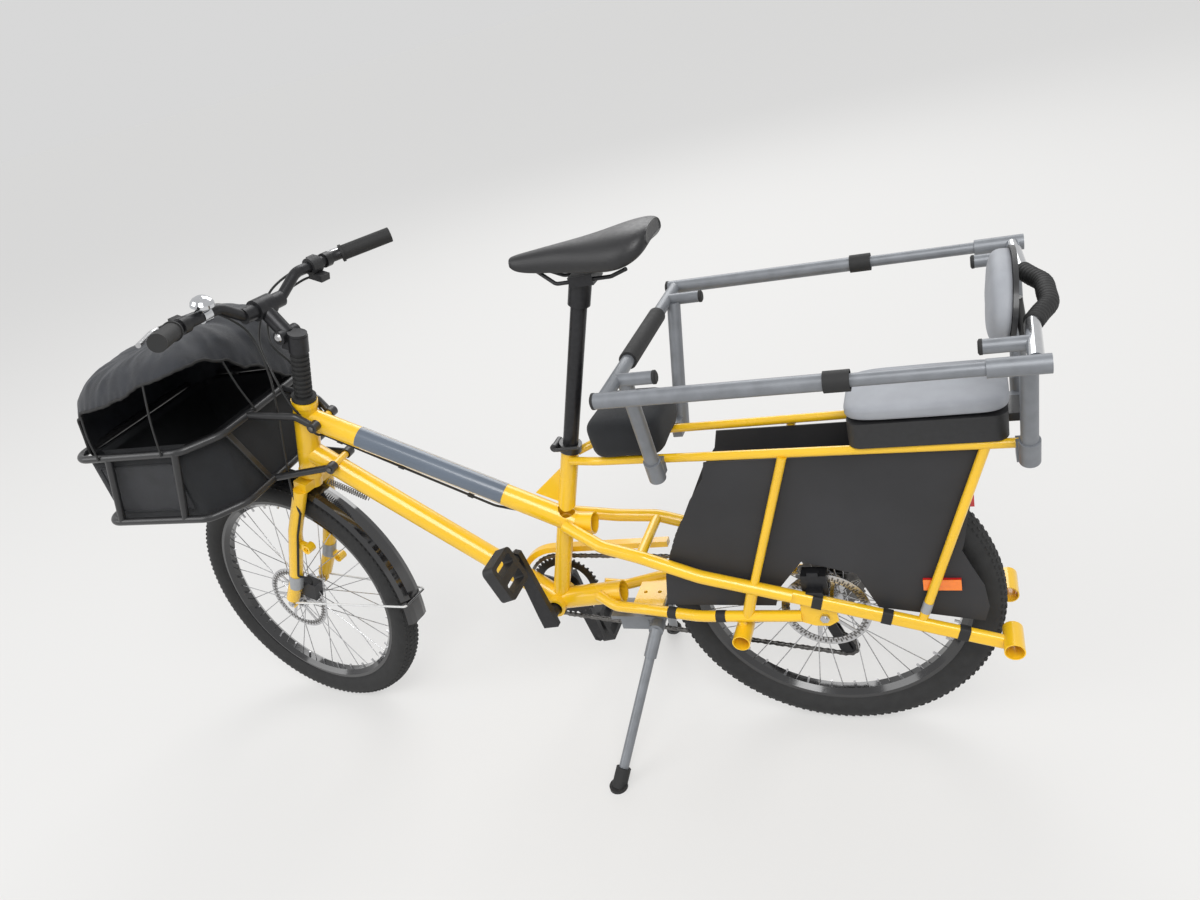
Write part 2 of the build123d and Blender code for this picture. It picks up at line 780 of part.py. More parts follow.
# Rear gear changer: a cage with its two pulleys, hung from the right dropout.
with BuildPart() as derailleur:
    for place in (guide_pulley, tension_pulley):
        cross_bar(
            place[0],
            place[1],
            chain_y - 3.0,
            chain_y + 3.0,
            (pulley_radius - chain_half_height - 0.4) * 2,
        )
        cross_bar(place[0], place[1], chain_y - 8.0, chain_y + 8.0, 9.0)
    for face in (chain_y - 8.0, chain_y + 5.5):
        with BuildSketch(
            Plane(origin=at(0, face + 2.5, 0), x_dir=(1, 0, 0), z_dir=(0, -1, 0))
        ) as section:
            with BuildLine():
                Polyline(
                    (guide_pulley[0] + 10, guide_pulley[1] + 8),
                    (guide_pulley[0] - 12, guide_pulley[1] + 8),
                    (tension_pulley[0] - 11, tension_pulley[1] - 8),
                    (tension_pulley[0] + 11, tension_pulley[1] - 8),
                    close=True,
                )
            make_face()
        extrude(section.sketch, amount=2.5)
    block(at(14.0, -61.0, 246.0), 30.0, 22.0, 36.0)
    bar(at(14.0, -66.0, 262.0), at(12.0, -70.0, 289.0), 14.0)
    cross_bar(guide_pulley[0] - 6.0, guide_pulley[1] + 4.0, -60.0, -48.0, 22.0)
    side_plate(dropout_outline, rear_axle_width / 2, 6.0, -1, mode=Mode.SUBTRACT)
finish(derailleur, "rear_derailleur")

# Chain guard over the top run of the chain.
guard_outer = 105.0
guard_inner = 92.0
with BuildPart() as chain_guard:
    with BuildSketch(
        Plane(origin=at(0, chain_y + 5.0, 0), x_dir=(1, 0, 0), z_dir=(0, -1, 0))
    ) as section:
        with BuildLine():
            arc = [
                [
                    (
                        bracket_ahead + radius * cos(radians(angle)),
                        bracket_height + radius * sin(radians(angle)),
                    )
                    for angle in (40.0, 65.0, 90.0)
                ]
                for radius in (guard_outer, guard_inner)
            ]
            ThreePointArc(*arc[0])
            Line(arc[0][2], (312.0, 405.0))
            Line((312.0, 405.0), (312.0, 392.0))
            Line((312.0, 392.0), arc[1][2])
            ThreePointArc(*arc[1][::-1])
            Line(arc[1][0], arc[0][0])
        make_face()
    extrude(section.sketch, amount=18.0)
    block(at(531.0, (chain_y + 5.0) / 2 - 8.0, 389.0), 16.0, 44.0, 8.0)
    bar(seat_bottom, seat_top, seat_tube_diameter, mode=Mode.SUBTRACT)
finish(chain_guard, "chain_guard")

# Cranks: a spindle, two opposite arms and the spider that carries the chainring.
crank_length = 165.0
chainring_tip = pitch_radius(chainring_teeth) - chain_half_height - 0.5
crank_lean = 8.5
arm_inner_y = 63.0
arm_thickness = 14.0
crank_tip = Vector(sin(radians(crank_lean)), 0, cos(radians(crank_lean))) * crank_length
pedal_axes = {
    1: shell_centre + crank_tip,
    -1: shell_centre - crank_tip,
}
with BuildPart() as crankset:
    cross_bar(bracket_ahead, bracket_height, -arm_inner_y - 10.0, arm_inner_y + 10.0, 24.0)
    for side in (1, -1):
        hub_end = shell_centre + Vector(0, side * arm_inner_y, 0)
        with BuildSketch(
            Plane(origin=hub_end, x_dir=crank_tip * side, z_dir=(0, side, 0))
        ) as section:
            with BuildLine():
                Polyline(
                    (-16, -17),
                    (14, -17),
                    (crank_length - 10, -12),
                    (crank_length + 8, -11),
                    (crank_length + 13, 0),
                    (crank_length + 8, 11),
                    (crank_length - 10, 12),
                    (14, 17),
                    (-16, 17),
                    close=True,
                )
            make_face()
        extrude(section.sketch, amount=arm_thickness)
    with BuildSketch(
        Plane(origin=at(bracket_ahead, chain_y - 3.0, bracket_height), x_dir=(1, 0, 0), z_dir=(0, -1, 0))
    ) as section:
        Circle(30.0)
        with PolarLocations(0, 4, start_angle=20.0):
            with Locations((33.0, 0)):
                Rectangle(66.0, 14.0)
    extrude(section.sketch, amount=4.0)
    cross_bar(bracket_ahead, bracket_height, chain_y - 3.0, -arm_inner_y, 44.0)
    for side in (1, -1):
        cross_bar(
            pedal_axes[side].X - rear_axle_x,
            pedal_axes[side].Z,
            side * (arm_inner_y - 1.0),
            side * (arm_inner_y + arm_thickness + 1.0),
            12.2,
            mode=Mode.SUBTRACT,
        )
    # Chainring.
    with BuildSketch(
        Plane(origin=at(bracket_ahead, chain_y + 1.2, bracket_height), x_dir=(1, 0, 0), z_dir=(0, -1, 0))
    ) as section:
        with BuildLine():
            Polyline(*toothed_outline(chainring_teeth, chainring_tip - 5.0, chainring_tip), close=True)
        make_face()
        Circle(chainring_tip - 20.0, mode=Mode.SUBTRACT)
    extrude(section.sketch, amount=3.8)
finish(crankset, "crankset")

# Pedals: a cage round a core, on a pin screwed into the arm.
pedal_length = 82.0
pedal_width = 82.0
pedal_thickness = 26.0
pedal_gap = 12.0
pedal_tilt = {1: 72.0, -1: 78.0}
for side, name in ((1, "left_pedal"), (-1, "right_pedal")):
    with BuildPart() as pedal:
        core = pedal_axes[side]
        inner = arm_inner_y + arm_thickness + pedal_gap
        frame_plane = Plane(
            origin=core + Vector(0, side * (inner + pedal_width / 2), 0),
            x_dir=Vector(cos(radians(pedal_tilt[side])), 0, sin(radians(pedal_tilt[side]))),
            z_dir=Vector(-sin(radians(pedal_tilt[side])), 0, cos(radians(pedal_tilt[side]))),
        ).offset(-pedal_thickness / 2)
        with BuildSketch(frame_plane) as section:
            RectangleRounded(pedal_length, pedal_width, 12.0)
            with Locations((pedal_length * 0.24, 0), (-pedal_length * 0.24, 0)):
                RectangleRounded(pedal_length * 0.27, pedal_width - 24.0, 5.0, mode=Mode.SUBTRACT)
        extrude(section.sketch, amount=pedal_thickness)
        bar(
            core + Vector(0, side * (arm_inner_y + 1.0), 0),
            core + Vector(0, side * (inner + 8.0), 0),
            12.0,
        )
        bar(
            core + Vector(0, side * (inner - pedal_gap + 1.0), 0),
            core + Vector(0, side * (inner + 2.0), 0),
            18.0,
        )
    finish(pedal, name)

# Fork: steerer, crown, two curved blades and their dropouts.
blade_diameter = 31.0
blade_y = 57.0
blade_run = [(-2.0, 42.0, -22.0), (11.0, blade_y, -129.0), (26.0, blade_y, -278.0), (43.0, blade_y, -344.0)]
steerer_diameter = 28.6
stack_top = 330.0


def steered_bar(start, end, diameter, bore=0.0, mode=Mode.ADD):
    bar(steered(*start), steered(*end), diameter, bore, mode)


def steered_run(run, side=1):
    return [steered(forward, side * left, up) for forward, left, up in run]


def steered_block(forward, left, up, length, width, height, mode=Mode.ADD):
    """A box in the steering frame by its centre and sizes."""
    with BuildSketch(
        Plane(origin=steered(forward, left, up - height / 2), x_dir=steering.x_dir, z_dir=steering.z_dir)
    ) as section:
        Rectangle(length, width)
    extrude(section.sketch, amount=height, mode=mode)


fork_dropout = [(30, -334), (58, -334), (60, -352), (58, -372), (44, -380), (34, -366)]
with BuildPart() as fork:
    steered_bar((0, 0, -12.0), (0, 0, stack_top), steerer_diameter)
    steered_bar((0, 0, -27.0), (0, 0, -1.0), 42.0)
    steered_block(-1.0, 0, -15.0, 32.0, 84.0, 22.0)
    for side in (1, -1):
        bent_bar(steered_run(blade_run, side), [50.0, 90.0], blade_diameter)
        with BuildSketch(
            Plane(
                origin=steered(0, side * front_axle_width / 2, 0),
                x_dir=steering.x_dir,
                z_dir=-steering.y_dir,
            )
        ) as section:
            with BuildLine():
                Polyline(*fork_dropout, close=True)
            make_face()
        extrude(section.sketch, amount=-side * 6.0)
    steered_bar(
        (fork_offset, -70.0, -axle_to_crown),
        (fork_offset, 70.0, -axle_to_crown),
        axle_radius * 2 + 0.2,
        mode=Mode.SUBTRACT,
    )
    # Accessory eyes behind the blades.
    for side, back, up in ((1, -14.0, -163.0), (-1, 2.0, -276.0)):
        steered_block(back + 4.0, side * blade_y, up, 24.0, 12.0, 16.0)
        steered_bar(
            (back - 9.0, side * blade_y - 10.0, up),
            (back - 9.0, side * blade_y + 10.0, up),
            22.0,
            bore=13.0,
        )
finish(fork, "fork")

# Boot and spacers over the steerer, above the head tube.
boot_diameter = 37.0
boot_rings = 9
with BuildPart() as steerer_boot:
    bore = steerer_diameter + 0.4
    low = head_tube_length + 1.0
    high = stack_top - 34.0
    steered_bar((0, 0, low), (0, 0, high), boot_diameter - 5.0, bore=bore)
    steered_bar((0, 0, low), (0, 0, low + 10.0), head_tube_diameter, bore=bore)
    ring_pitch = (high - low - 16.0) / boot_rings
    for ring in range(boot_rings):
        height = low + 14.0 + ring * ring_pitch
        steered_bar((0, 0, height), (0, 0, height + ring_pitch * 0.5), boot_diameter, bore=bore)
finish(steerer_boot, "steerer_boot")

# Stem: a clamp on the steerer, a tilting arm on a cross pin, and the handlebar clamp.
bar_clamp = (83.0, 0.0, 368.4)
stem_pivot = (25.7, 0.0, 327.0)
with BuildPart() as stem:
    bore = steerer_diameter + 0.4
    steered_bar((0, 0, stack_top - 33.0), (0, 0, stack_top + 2.0), 40.0, bore=bore)
    steered_bar((0, 0, stack_top + 2.0), (0, 0, stack_top + 8.0), 38.0)
    steered_block(18.0, 0, stack_top - 13.0, 18.0, 34.0, 30.0)
    steered_bar(
        (stem_pivot[0], -25.0, stem_pivot[2]), (stem_pivot[0], 25.0, stem_pivot[2]), 28.0
    )
    steered_bar(stem_pivot, bar_clamp, 32.0)
    steered_bar((bar_clamp[0], -22.0, bar_clamp[2]), (bar_clamp[0], 22.0, bar_clamp[2]), 43.0)
    steered_bar((0, 0, stack_top - 34.0), (0, 0, stack_top + 2.0), bore, mode=Mode.SUBTRACT)
    steered_bar(
        (bar_clamp[0], -30.0, bar_clamp[2]),
        (bar_clamp[0], 30.0, bar_clamp[2]),
        32.0,
        mode=Mode.SUBTRACT,
    )
finish(stem, "stem")

# Handlebar: a wide centre, a rise on each side and swept grips.
handlebar_half = [
    (83.0, 50.0, 368.4),
    (88.0, 105.0, 405.0),
    (81.0, 212.0, 406.5),
    (6.6, 310.0, 444.0),
]
bar_diameter = 22.2
bar_bore = bar_diameter + 0.8
with BuildPart() as handlebar:
    steered_bar((83.0, -52.0, 368.4), (83.0, 52.0, 368.4), 31.8)
    for side in (1, -1):
        bent_bar(
            steered_run([(83.0, 0.0, 368.4)] + handlebar_half, side), [40.0, 40.0, 40.0], bar_diameter
        )
finish(handlebar, "handlebar")

grip_inner = Vector(*handlebar_half[2])
grip_outer = Vector(*handlebar_half[3])
grip_diameter = 32.0
with BuildPart() as grips:
    for side in (1, -1):
        start = along(grip_inner, grip_outer, 0.14)
        end = along(grip_inner, grip_outer, 1.02)
        ends = [steered(p.X, side * p.Y, p.Z) for p in (start, end)]
        bar(ends[0], ends[1], grip_diameter)
        bar(ends[0], along(ends[0], ends[1], 0.982), bar_diameter + 0.2, mode=Mode.SUBTRACT)
        bar(ends[0], along(ends[0], ends[1], 0.05), grip_diameter + 5.0, bore=bar_diameter + 0.2)
finish(grips, "grips")

# Brake levers: a clamp and body on each side with a two-finger blade.
with BuildPart() as brake_levers:
    for side in (1, -1):
        steered_bar(
            (82.8, side * 184.0, 406.1), (81.8, side * 200.0, 406.3), 31.0, bore=bar_bore
        )
        steered_block(105.0, side * 182.0, 400.0, 26.0, 22.0, 18.0)
        bent_bar(
            steered_run(
                [(112.0, 184.0, 400.0), (116.0, 232.0, 399.0), (52.0, 312.0, 426.0)], side
            ),
            30.0,
            9.0,
        )
        bar(
            steered(84.4, side * 160.0, 405.8),
            steered(81.8, side * 200.5, 406.3),
            bar_bore,
            mode=Mode.SUBTRACT,
        )
finish(brake_levers, "brake_levers")

# Gear shifter on the right and bell on the left.
with BuildPart() as shifter:
    steered_bar((85.1, -141.0, 405.5), (83.6, -167.0, 405.9), 36.0, bore=bar_bore)
    steered_block(70.0, -154.0, 386.0, 34.0, 26.0, 14.0)
    steered_bar((87.0, -119.0, 405.2), (81.7, -200.0, 406.4), bar_bore, mode=Mode.SUBTRACT)
finish(shifter, "shifter")

bell_radius = 22.0
with BuildPart() as bell:
    bell_plane = Plane(
        origin=steered(86.0, 140.0, 419.0), x_dir=steering.x_dir, z_dir=steering.z_dir
    )
    profile_plane = Plane(
        origin=bell_plane.origin, x_dir=bell_plane.x_dir, z_dir=-bell_plane.y_dir
    )
    with BuildSketch(profile_plane) as section:
        with BuildLine():
            Polyline(
                (0.0, -1.0),
                (9.0, -1.0),
                (9.0, 6.0),
                (bell_radius, 6.0),
                (bell_radius - 1.0, 12.0),
                (bell_radius - 5.0, 18.0),
                (bell_radius - 12.0, 22.5),
                (0.0, 24.5),
                close=True,
            )
        make_face()
    revolve(section.sketch, axis=Axis(bell_plane.origin, bell_plane.z_dir))
    bar(steered(86.4, 130.0, 405.4), steered(85.1, 150.0, 405.6), 28.0, bore=bar_bore)
    bar(steered(87.0, 120.0, 405.2), steered(83.8, 170.0, 405.9), bar_bore, mode=Mode.SUBTRACT)
finish(bell, "bell")

# Front fender: a curved blade over the rear half of the front wheel, held by a wire.
fender_outer = 332.0
fender_width = 62.0
fender_thickness = 2.0
fender_tail = 188.0
fender_nose = 72.0
steering_tilt = 90.0 - head_angle
front_wheel = wheels["front"][0]


def round_front_wheel(radius, angle, left):
    """A point at a radius and world angle round the front wheel."""
    turn = radians(angle - steering_tilt)
    return front_wheel.from_local_coords(Vector(radius * cos(turn), left, radius * sin(turn)))


with BuildPart() as front_fender:
    turn = radians(fender_tail - steering_tilt)
    outward = front_wheel.x_dir * cos(turn) + front_wheel.z_dir * sin(turn)
    upward = front_wheel.z_dir * cos(turn) - front_wheel.x_dir * sin(turn)
    half = fender_width / 2
    with BuildSketch(Plane(origin=front_wheel.origin, x_dir=outward, z_dir=upward)) as section:
        with BuildLine():
            Polyline(
                (fender_outer - 12.0, -half),
                (fender_outer - 3.0, -half * 0.78),
                (fender_outer, -half * 0.4),
                (fender_outer, half * 0.4),
                (fender_outer - 3.0, half * 0.78),
                (fender_outer - 12.0, half),
                (fender_outer - 12.0, half - fender_thickness),
                (fender_outer - 5.0, half * 0.74),
                (fender_outer - fender_thickness, half * 0.38),
                (fender_outer - fender_thickness, -half * 0.38),
                (fender_outer - 5.0, -half * 0.74),
                (fender_outer - 12.0, -half + fender_thickness),
                close=True,
            )
        make_face()
    revolve(
        section.sketch,
        axis=Axis(front_wheel.origin, front_wheel.y_dir),
        revolution_arc=fender_tail - fender_nose,
    )
    # The wire that holds its tail.
    corner = [round_front_wheel(fender_outer + 2.8, 178.0, side * 36.0) for side in (1, -1)]
    ends = [steered(33.0, side * 60.0, -354.0) for side in (1, -1)]
    bent_bar([ends[0], corner[0], corner[1], ends[1]], 8.0, 5.0)
finish(front_fender, "front_fender")

# Front brake caliper behind the left blade.
front_rotor_y = front_axle_width / 2 - rotor_inset
with BuildPart() as front_caliper:
    centre = front_wheel.to_local_coords(round_front_wheel(76.0, 150.0, 0.0))
    steered_block(
        fork_offset + centre.X, front_rotor_y + 4.0, -axle_to_crown + centre.Z, 40.0, 24.0, 44.0
    )
    steered_bar(
        (fork_offset, front_rotor_y - 4.0, -axle_to_crown),
        (fork_offset, front_rotor_y + 4.0, -axle_to_crown),
        (rotor_radius + 6.0) * 2,
        mode=Mode.SUBTRACT,
    )
    bent_bar(steered_run(blade_run), [50.0, 90.0], blade_diameter + 0.6, mode=Mode.SUBTRACT)
finish(front_caliper, "front_caliper")

# Front brake cable, held down the back of the left blade from its upper clip to the caliper.
cable_diameter = 5.0
cable_run = [
    (-11.6, 58.9, -70.0),
    (-4.4, 67.2, -129.0),
    (8.9, 67.2, -255.0),
    (-8.0, 46.0, -268.0),
    (-8.0, 46.0, -284.6),
]
with BuildPart() as front_cable:
    bent_bar(steered_run(cable_run), [60.0, 8.0, 8.0], cable_diameter)
finish(front_cable, "front_brake_cable")

# Seat post, its clamp, and the saddle with its rails.
post_diameter = seat_tube_diameter - 2 * seat_tube_wall - 0.2
post_top_height = 957.0
seat_direction = (seat_top - seat_bottom).normalized()
post_top = seat_top + seat_direction * ((post_top_height - seat_tube_top) / sin(seat_lean))
saddle_rail_height = post_top_height + 27.0
saddle_setback = Vector(-17.3, 0, 0)
saddle_place = Vector(post_top.X - 337.0, 0, saddle_rail_height)
saddle_rail = [(402.0, 8.0, 24.0), (366.0, 21.0, 0.0), (266.0, 21.0, 0.0), (234.0, 30.0, 12.0)]
with BuildPart() as seatpost:
    bar(seat_top - seat_direction * 110.0, post_top, post_diameter)
    # Saddle rails and their clamp.
    bar(post_top - seat_direction * 22.0, post_top + seat_direction * 22.0, 40.0)
    block(Vector(post_top.X, 0, saddle_rail_height) + saddle_setback, 44.0, 52.0, 18.0)
    for side in (1, -1):
        bent_bar(
            [saddle_place + Vector(ahead, side * left, up) for ahead, left, up in saddle_rail],
            15.0,
            7.0,
        )
finish(seatpost, "seatpost")

with BuildPart() as seat_clamp:
    bar(
        seat_top - seat_direction * 10.0,
        seat_top + seat_direction * 0.5,
        seat_tube_diameter + 9.0,
        bore=seat_tube_diameter + 0.2,
    )
    bar(
        seat_top + seat_direction * 0.5,
        seat_top + seat_direction * 5.0,
        seat_tube_diameter + 9.0,
        bore=post_diameter + 0.4,
    )
    clamp_centre = seat_top - seat_direction * 3.0
    ear = clamp_centre + Vector(sin(seat_lean), 0, cos(seat_lean)) * 26.0
    bar(ear - Vector(0, 14.0, 0), ear + Vector(0, 14.0, 0), 14.0)
    bar(ear + Vector(0, 14.0, 0), ear + Vector(0, 20.0, 0), 16.0)
    bent_bar(
        [ear + Vector(0, 16.0, 0), ear + Vector(-6.0, 28.0, 0), ear + Vector(-52.0, 26.0, 2.0)],
        8.0,
        7.0,
    )
    bar(
        seat_top - seat_direction * 60.0,
        seat_top + seat_direction * 40.0,
        post_diameter + 0.4,
        mode=Mode.SUBTRACT,
    )
    bar(seat_bottom, seat_top, seat_tube_diameter + 0.2, mode=Mode.SUBTRACT)
finish(seat_clamp, "seat_clamp")

saddle_underside = 16.0
with BuildPart() as saddle:
    with BuildSketch(Plane(origin=saddle_place + Vector(0, 0, -24.0))) as section:
        with BuildLine():
            outline = [(448, 0), (444, 17), (363, 30), (298, 55), (238, 76), (198, 74), (184, 50)]
            Polyline(*outline, *[(x, -y) for x, y in outline[:0:-1]], close=True)
        make_face()
    extrude(section.sketch, amount=140.0)
    with BuildSketch(
        Plane(origin=saddle_place + Vector(0, 100.0, 0), x_dir=(1, 0, 0), z_dir=(0, -1, 0))
    ) as section:
        with BuildLine():
            Polyline(
                (458, 50),
                (398, 60),
                (314, 66),
                (238, 78),
                (178, 80),
                (178, 46),
                (228, saddle_underside),
                (338, saddle_underside + 8),
                (438, 30),
                (458, 34),
                close=True,
            )
        make_face()
    extrude(section.sketch, amount=200.0, mode=Mode.INTERSECT)
finish(saddle, "saddle")

# Cushion on the rack ahead, and the passenger seat behind it.
cushion_floor = rail_height + rail_diameter / 2 + seat_gap
cushion_height = 81.0
with BuildPart() as cushion_front:
    block(at(302.0, 0, cushion_floor + cushion_height / 2), 140.0, 150.0, cushion_height)
    fillet(cushion_front.edges().filter_by(Axis.Z), 18.0)
    fillet(cushion_front.edges().group_by(Axis.Z)[-1], 12.0)
finish(cushion_front, "front_cushion")

seat_base_height = 44.0
with BuildPart() as seat_base:
    block(at(-200.0, 0, cushion_floor + seat_base_height / 2), 240.0, 150.0, seat_base_height)
    fillet(seat_base.edges().filter_by(Axis.Z), 22.0)
finish(seat_base, "seat_base")

with BuildPart() as seat_pad:
    block(at(-200.0, 0, cushion_floor + seat_base_height + 0.5 + 15.0), 246.0, 154.0, 30.0)
    fillet(seat_pad.edges().filter_by(Axis.Z), 24.0)
    fillet(seat_pad.edges().group_by(Axis.Z)[-1], 10.0)
finish(seat_pad, "seat_pad")

# Backrest: an oval pad on a shell, carried by a bracket from the seat base.
backrest_plane = Plane(origin=at(-334.0, 0, 865.0), x_dir=(0, -1, 0), z_dir=(1, 0, 0.10))
with BuildPart() as backrest_shell:
    with BuildSketch(backrest_plane) as section:
        Ellipse(105.0, 68.0)
    extrude(section.sketch, amount=7.0)
    bent_bar(
        [at(-352.0, 0, 676.0), at(-352.0, 0, 760.0), at(-340.0, 0, 860.0)],
        60.0,
        14.0,
    )
    block(at(-338.0, 0, 676.0), 42.0, 60.0, 14.0)
    block(
        at(-200.0, 0, cushion_floor + seat_base_height / 2), 240.6, 170.0, 120.0, mode=Mode.SUBTRACT
    )
    with BuildSketch(backrest_plane.offset(7.0)) as section:
        Ellipse(106.0, 69.0)
    extrude(section.sketch, amount=40.0, mode=Mode.SUBTRACT)
finish(backrest_shell, "backrest_shell")

with BuildPart() as backrest_pad:
    with BuildSketch(backrest_plane.offset(7.5)) as section:
        Ellipse(101.0, 64.0)
    extrude(section.sketch, amount=28.0)
    fillet(backrest_pad.edges().group_by(Axis.X)[-1], 9.0)
finish(backrest_pad, "backrest_pad")

# Side rails round the passenger seat, on four leaning posts.
hoop_height = 863.0
hoop_y = 236.0
stub_rail_y = 168.0
post_diameter_rack = 25.0
socket_diameter = 31.0
cross_tube_diameter = 22.0
stub_tube_diameter = 21.0
rail_steps = [(260.0, 25.0), (-84.0, 19.0), (-288.0, 26.0), (-365.0, 26.0)]
with BuildPart() as side_rails:
    for side in (1, -1):
        rail_axis = Axis(at(0, side * hoop_y, hoop_height), (1, 0, 0))
        with BuildSketch(
            Plane(origin=at(0, side * hoop_y, hoop_height), x_dir=(1, 0, 0), z_dir=(0, -1, 0))
        ) as section:
            with BuildLine():
                steps = []
                for step, (ahead, diameter) in enumerate(rail_steps[:-1]):
                    steps.append((ahead, diameter / 2))
                    steps.append((rail_steps[step + 1][0], diameter / 2))
                Polyline((rail_steps[0][0], 0), *steps, (rail_steps[-1][0], 0), close=True)
            make_face()
        revolve(section.sketch, axis=rail_axis)
    cross_bar(246.0, hoop_height, -hoop_y, hoop_y, cross_tube_diameter)
    for side in (1, -1):
        bar(
            at(246.0, side * stub_rail_y, hoop_height),
            at(181.0, side * stub_rail_y, hoop_height),
            stub_tube_diameter,
        )
finish(side_rails, "side_rails")

# Twist collars on the side rails, and the foam wrap on the front one.
with BuildPart() as rail_grips:
    for side in (1, -1):
        bar(
            at(-82.0, side * hoop_y, hoop_height),
            at(-118.0, side * hoop_y, hoop_height),
            31.0,
            bore=25.2,
        )
    cross_bar(246.0, hoop_height, -95.0, 95.0, 31.0, bore=cross_tube_diameter + 0.4)
finish(rail_grips, "rail_grips")

grab_half = [(-347.0, 224.0), (-352.0, 105.0), (-378.0, 40.0)]
grab_run = grab_half + [(ahead, -left) for ahead, left in reversed(grab_half)]


def grab_tube(diameter, mode=Mode.ADD):
    bent_bar([at(ahead, left, hoop_height) for ahead, left in grab_run], 40.0, diameter, mode=mode)


with BuildPart() as grab_bar:
    grab_tube(cross_tube_diameter)
    for side in (1, -1):
        bar(
            at(-350.0, side * stub_rail_y, hoop_height),
            at(-284.0, side * stub_rail_y, hoop_height),
            stub_tube_diameter,
        )
        bar(
            at(-280.0, side * hoop_y, hoop_height),
            at(-380.0, side * hoop_y, hoop_height),
            26.0,
            mode=Mode.SUBTRACT,
        )
finish(grab_bar, "grab_bar")

with BuildPart() as rail_posts:
    for side in (1, -1):
        bar(at(246.0, side * 92.0, 634.0), at(232.0, side * 165.0, hoop_height), post_diameter_rack)
        bar(at(-345.0, side * 92.0, 634.0), at(-343.0, side * 165.0, hoop_height), post_diameter_rack)
        bar(
            at(246.0, side * stub_rail_y, hoop_height),
            at(181.0, side * stub_rail_y, hoop_height),
            stub_tube_diameter + 0.2,
            mode=Mode.SUBTRACT,
        )
        bar(
            at(-400.0, side * stub_rail_y, hoop_height),
            at(-284.0, side * stub_rail_y, hoop_height),
            stub_tube_diameter + 0.2,
            mode=Mode.SUBTRACT,
        )
    grab_tube(cross_tube_diameter + 0.2, mode=Mode.SUBTRACT)
    cross_bar(246.0, hoop_height, -hoop_y, hoop_y, cross_tube_diameter + 0.2, mode=Mode.SUBTRACT)
    block(at(-50.0, 0, 940.0), 800.0, 480.0, 160.0, mode=Mode.SUBTRACT)
    # Sockets that hold the posts beside the rails.
    for ahead, top_ahead, tab_ahead in ((246.0, 232.0, 246.0), (-345.0, -343.0, -336.0)):
        for side in (1, -1):
            foot = at(ahead, side * 92.0, 634.0)
            top = at(top_ahead, side * 165.0, hoop_height)
            bar(foot, along(foot, top, 46.0 / (top - foot).length), socket_diameter)
            block(at(tab_ahead, side * 74.5, rail_height - 7.0), 18.0, 29.0, 30.0)
    rails(Mode.SUBTRACT)
finish(rail_posts, "rail_posts")

# Front basket: two rims, uprights and arms to the frame.
basket_tube = 16.0
basket_arm = 15.0
basket_top = 812.0
basket_low = 662.0
basket_front = 1450.0
arm_eye_y = boss_half_width + seat_gap + basket_tube / 2 + 1.0
with BuildPart() as basket_frame:
    for side in (1, -1):
        bent_bar(
            [
                at(basket_front, 0, basket_top),
                at(basket_front, side * 205.0, basket_top),
                at(1160.0, side * 205.0, basket_top),
                at(1103.0, side * 140.0, basket_top),
                at(1103.0, 0, basket_top),
            ],
            [40.0, 40.0, 40.0],
            basket_tube,
        )
        bent_bar(
            [
                at(basket_front - 4.0, 0, basket_low),
                at(basket_front - 4.0, side * 212.0, basket_low),
                at(1160.0, side * 212.0, basket_low),
                at(1105.0, side * 150.0, basket_low),
                at(1105.0, 0, basket_low),
            ],
            [40.0, 40.0, 40.0],
            basket_tube,
        )
        bar(at(1350.0, side * 205.0, basket_top), at(1400.0, side * 212.0, basket_low), basket_arm)
        bar(at(1170.0, side * 205.0, basket_top), at(1222.0, side * 212.0, basket_low), basket_arm)
        beam(
            at(1103.0, side * 128.0, basket_top - 2.0),
            at(1104.0, side * 72.0, basket_low + 2.0),
            14.0,
            6.0,
        )
        bent_bar(
            [
                at(1103.0, side * 62.0, basket_top),
                at(1004.0, side * 41.0, 790.0),
                at(arm_eye_ahead + 4.0, side * arm_eye_y, upper_eye_height + 3.0),
            ],
            20.0,
            basket_arm,
        )
        bar(
            at(1105.0, side * 62.0, basket_low),
            at(arm_eye_ahead + 4.0, side * arm_eye_y, lower_eye_height),
            basket_arm,
        )
        for height in (upper_eye_height, lower_eye_height):
            cross_bar(
                arm_eye_ahead,
                height,
                side * (boss_half_width + seat_gap),
                side * (2 * arm_eye_y - boss_half_width - seat_gap),
                22.0,
            )
finish(basket_frame, "basket_frame")

liner_wall = 2.5
with BuildPart() as basket_liner:
    front = basket_front - 4.0 - basket_tube / 2 - seat_gap
    outline = [(front, -194), (front, 194), (1172, 194), (1118, 132), (1118, -132), (1172, -194)]
    with BuildSketch(Plane(origin=at(0, 0, 656.0))) as section:
        with BuildLine():
            Polyline(*outline, close=True)
        make_face()
        fillet(section.vertices(), radius=30.0)
    extrude(section.sketch, amount=basket_top - 8.0 - 656.0)
    with BuildSketch(Plane(origin=at(0, 0, 656.0 + liner_wall))) as section:
        with BuildLine():
            Polyline(*outline, close=True)
        make_face()
        fillet(section.vertices(), radius=30.0)
        offset(amount=-liner_wall, mode=Mode.REPLACE)
    extrude(section.sketch, amount=200.0, mode=Mode.SUBTRACT)
finish(basket_liner, "basket_liner")

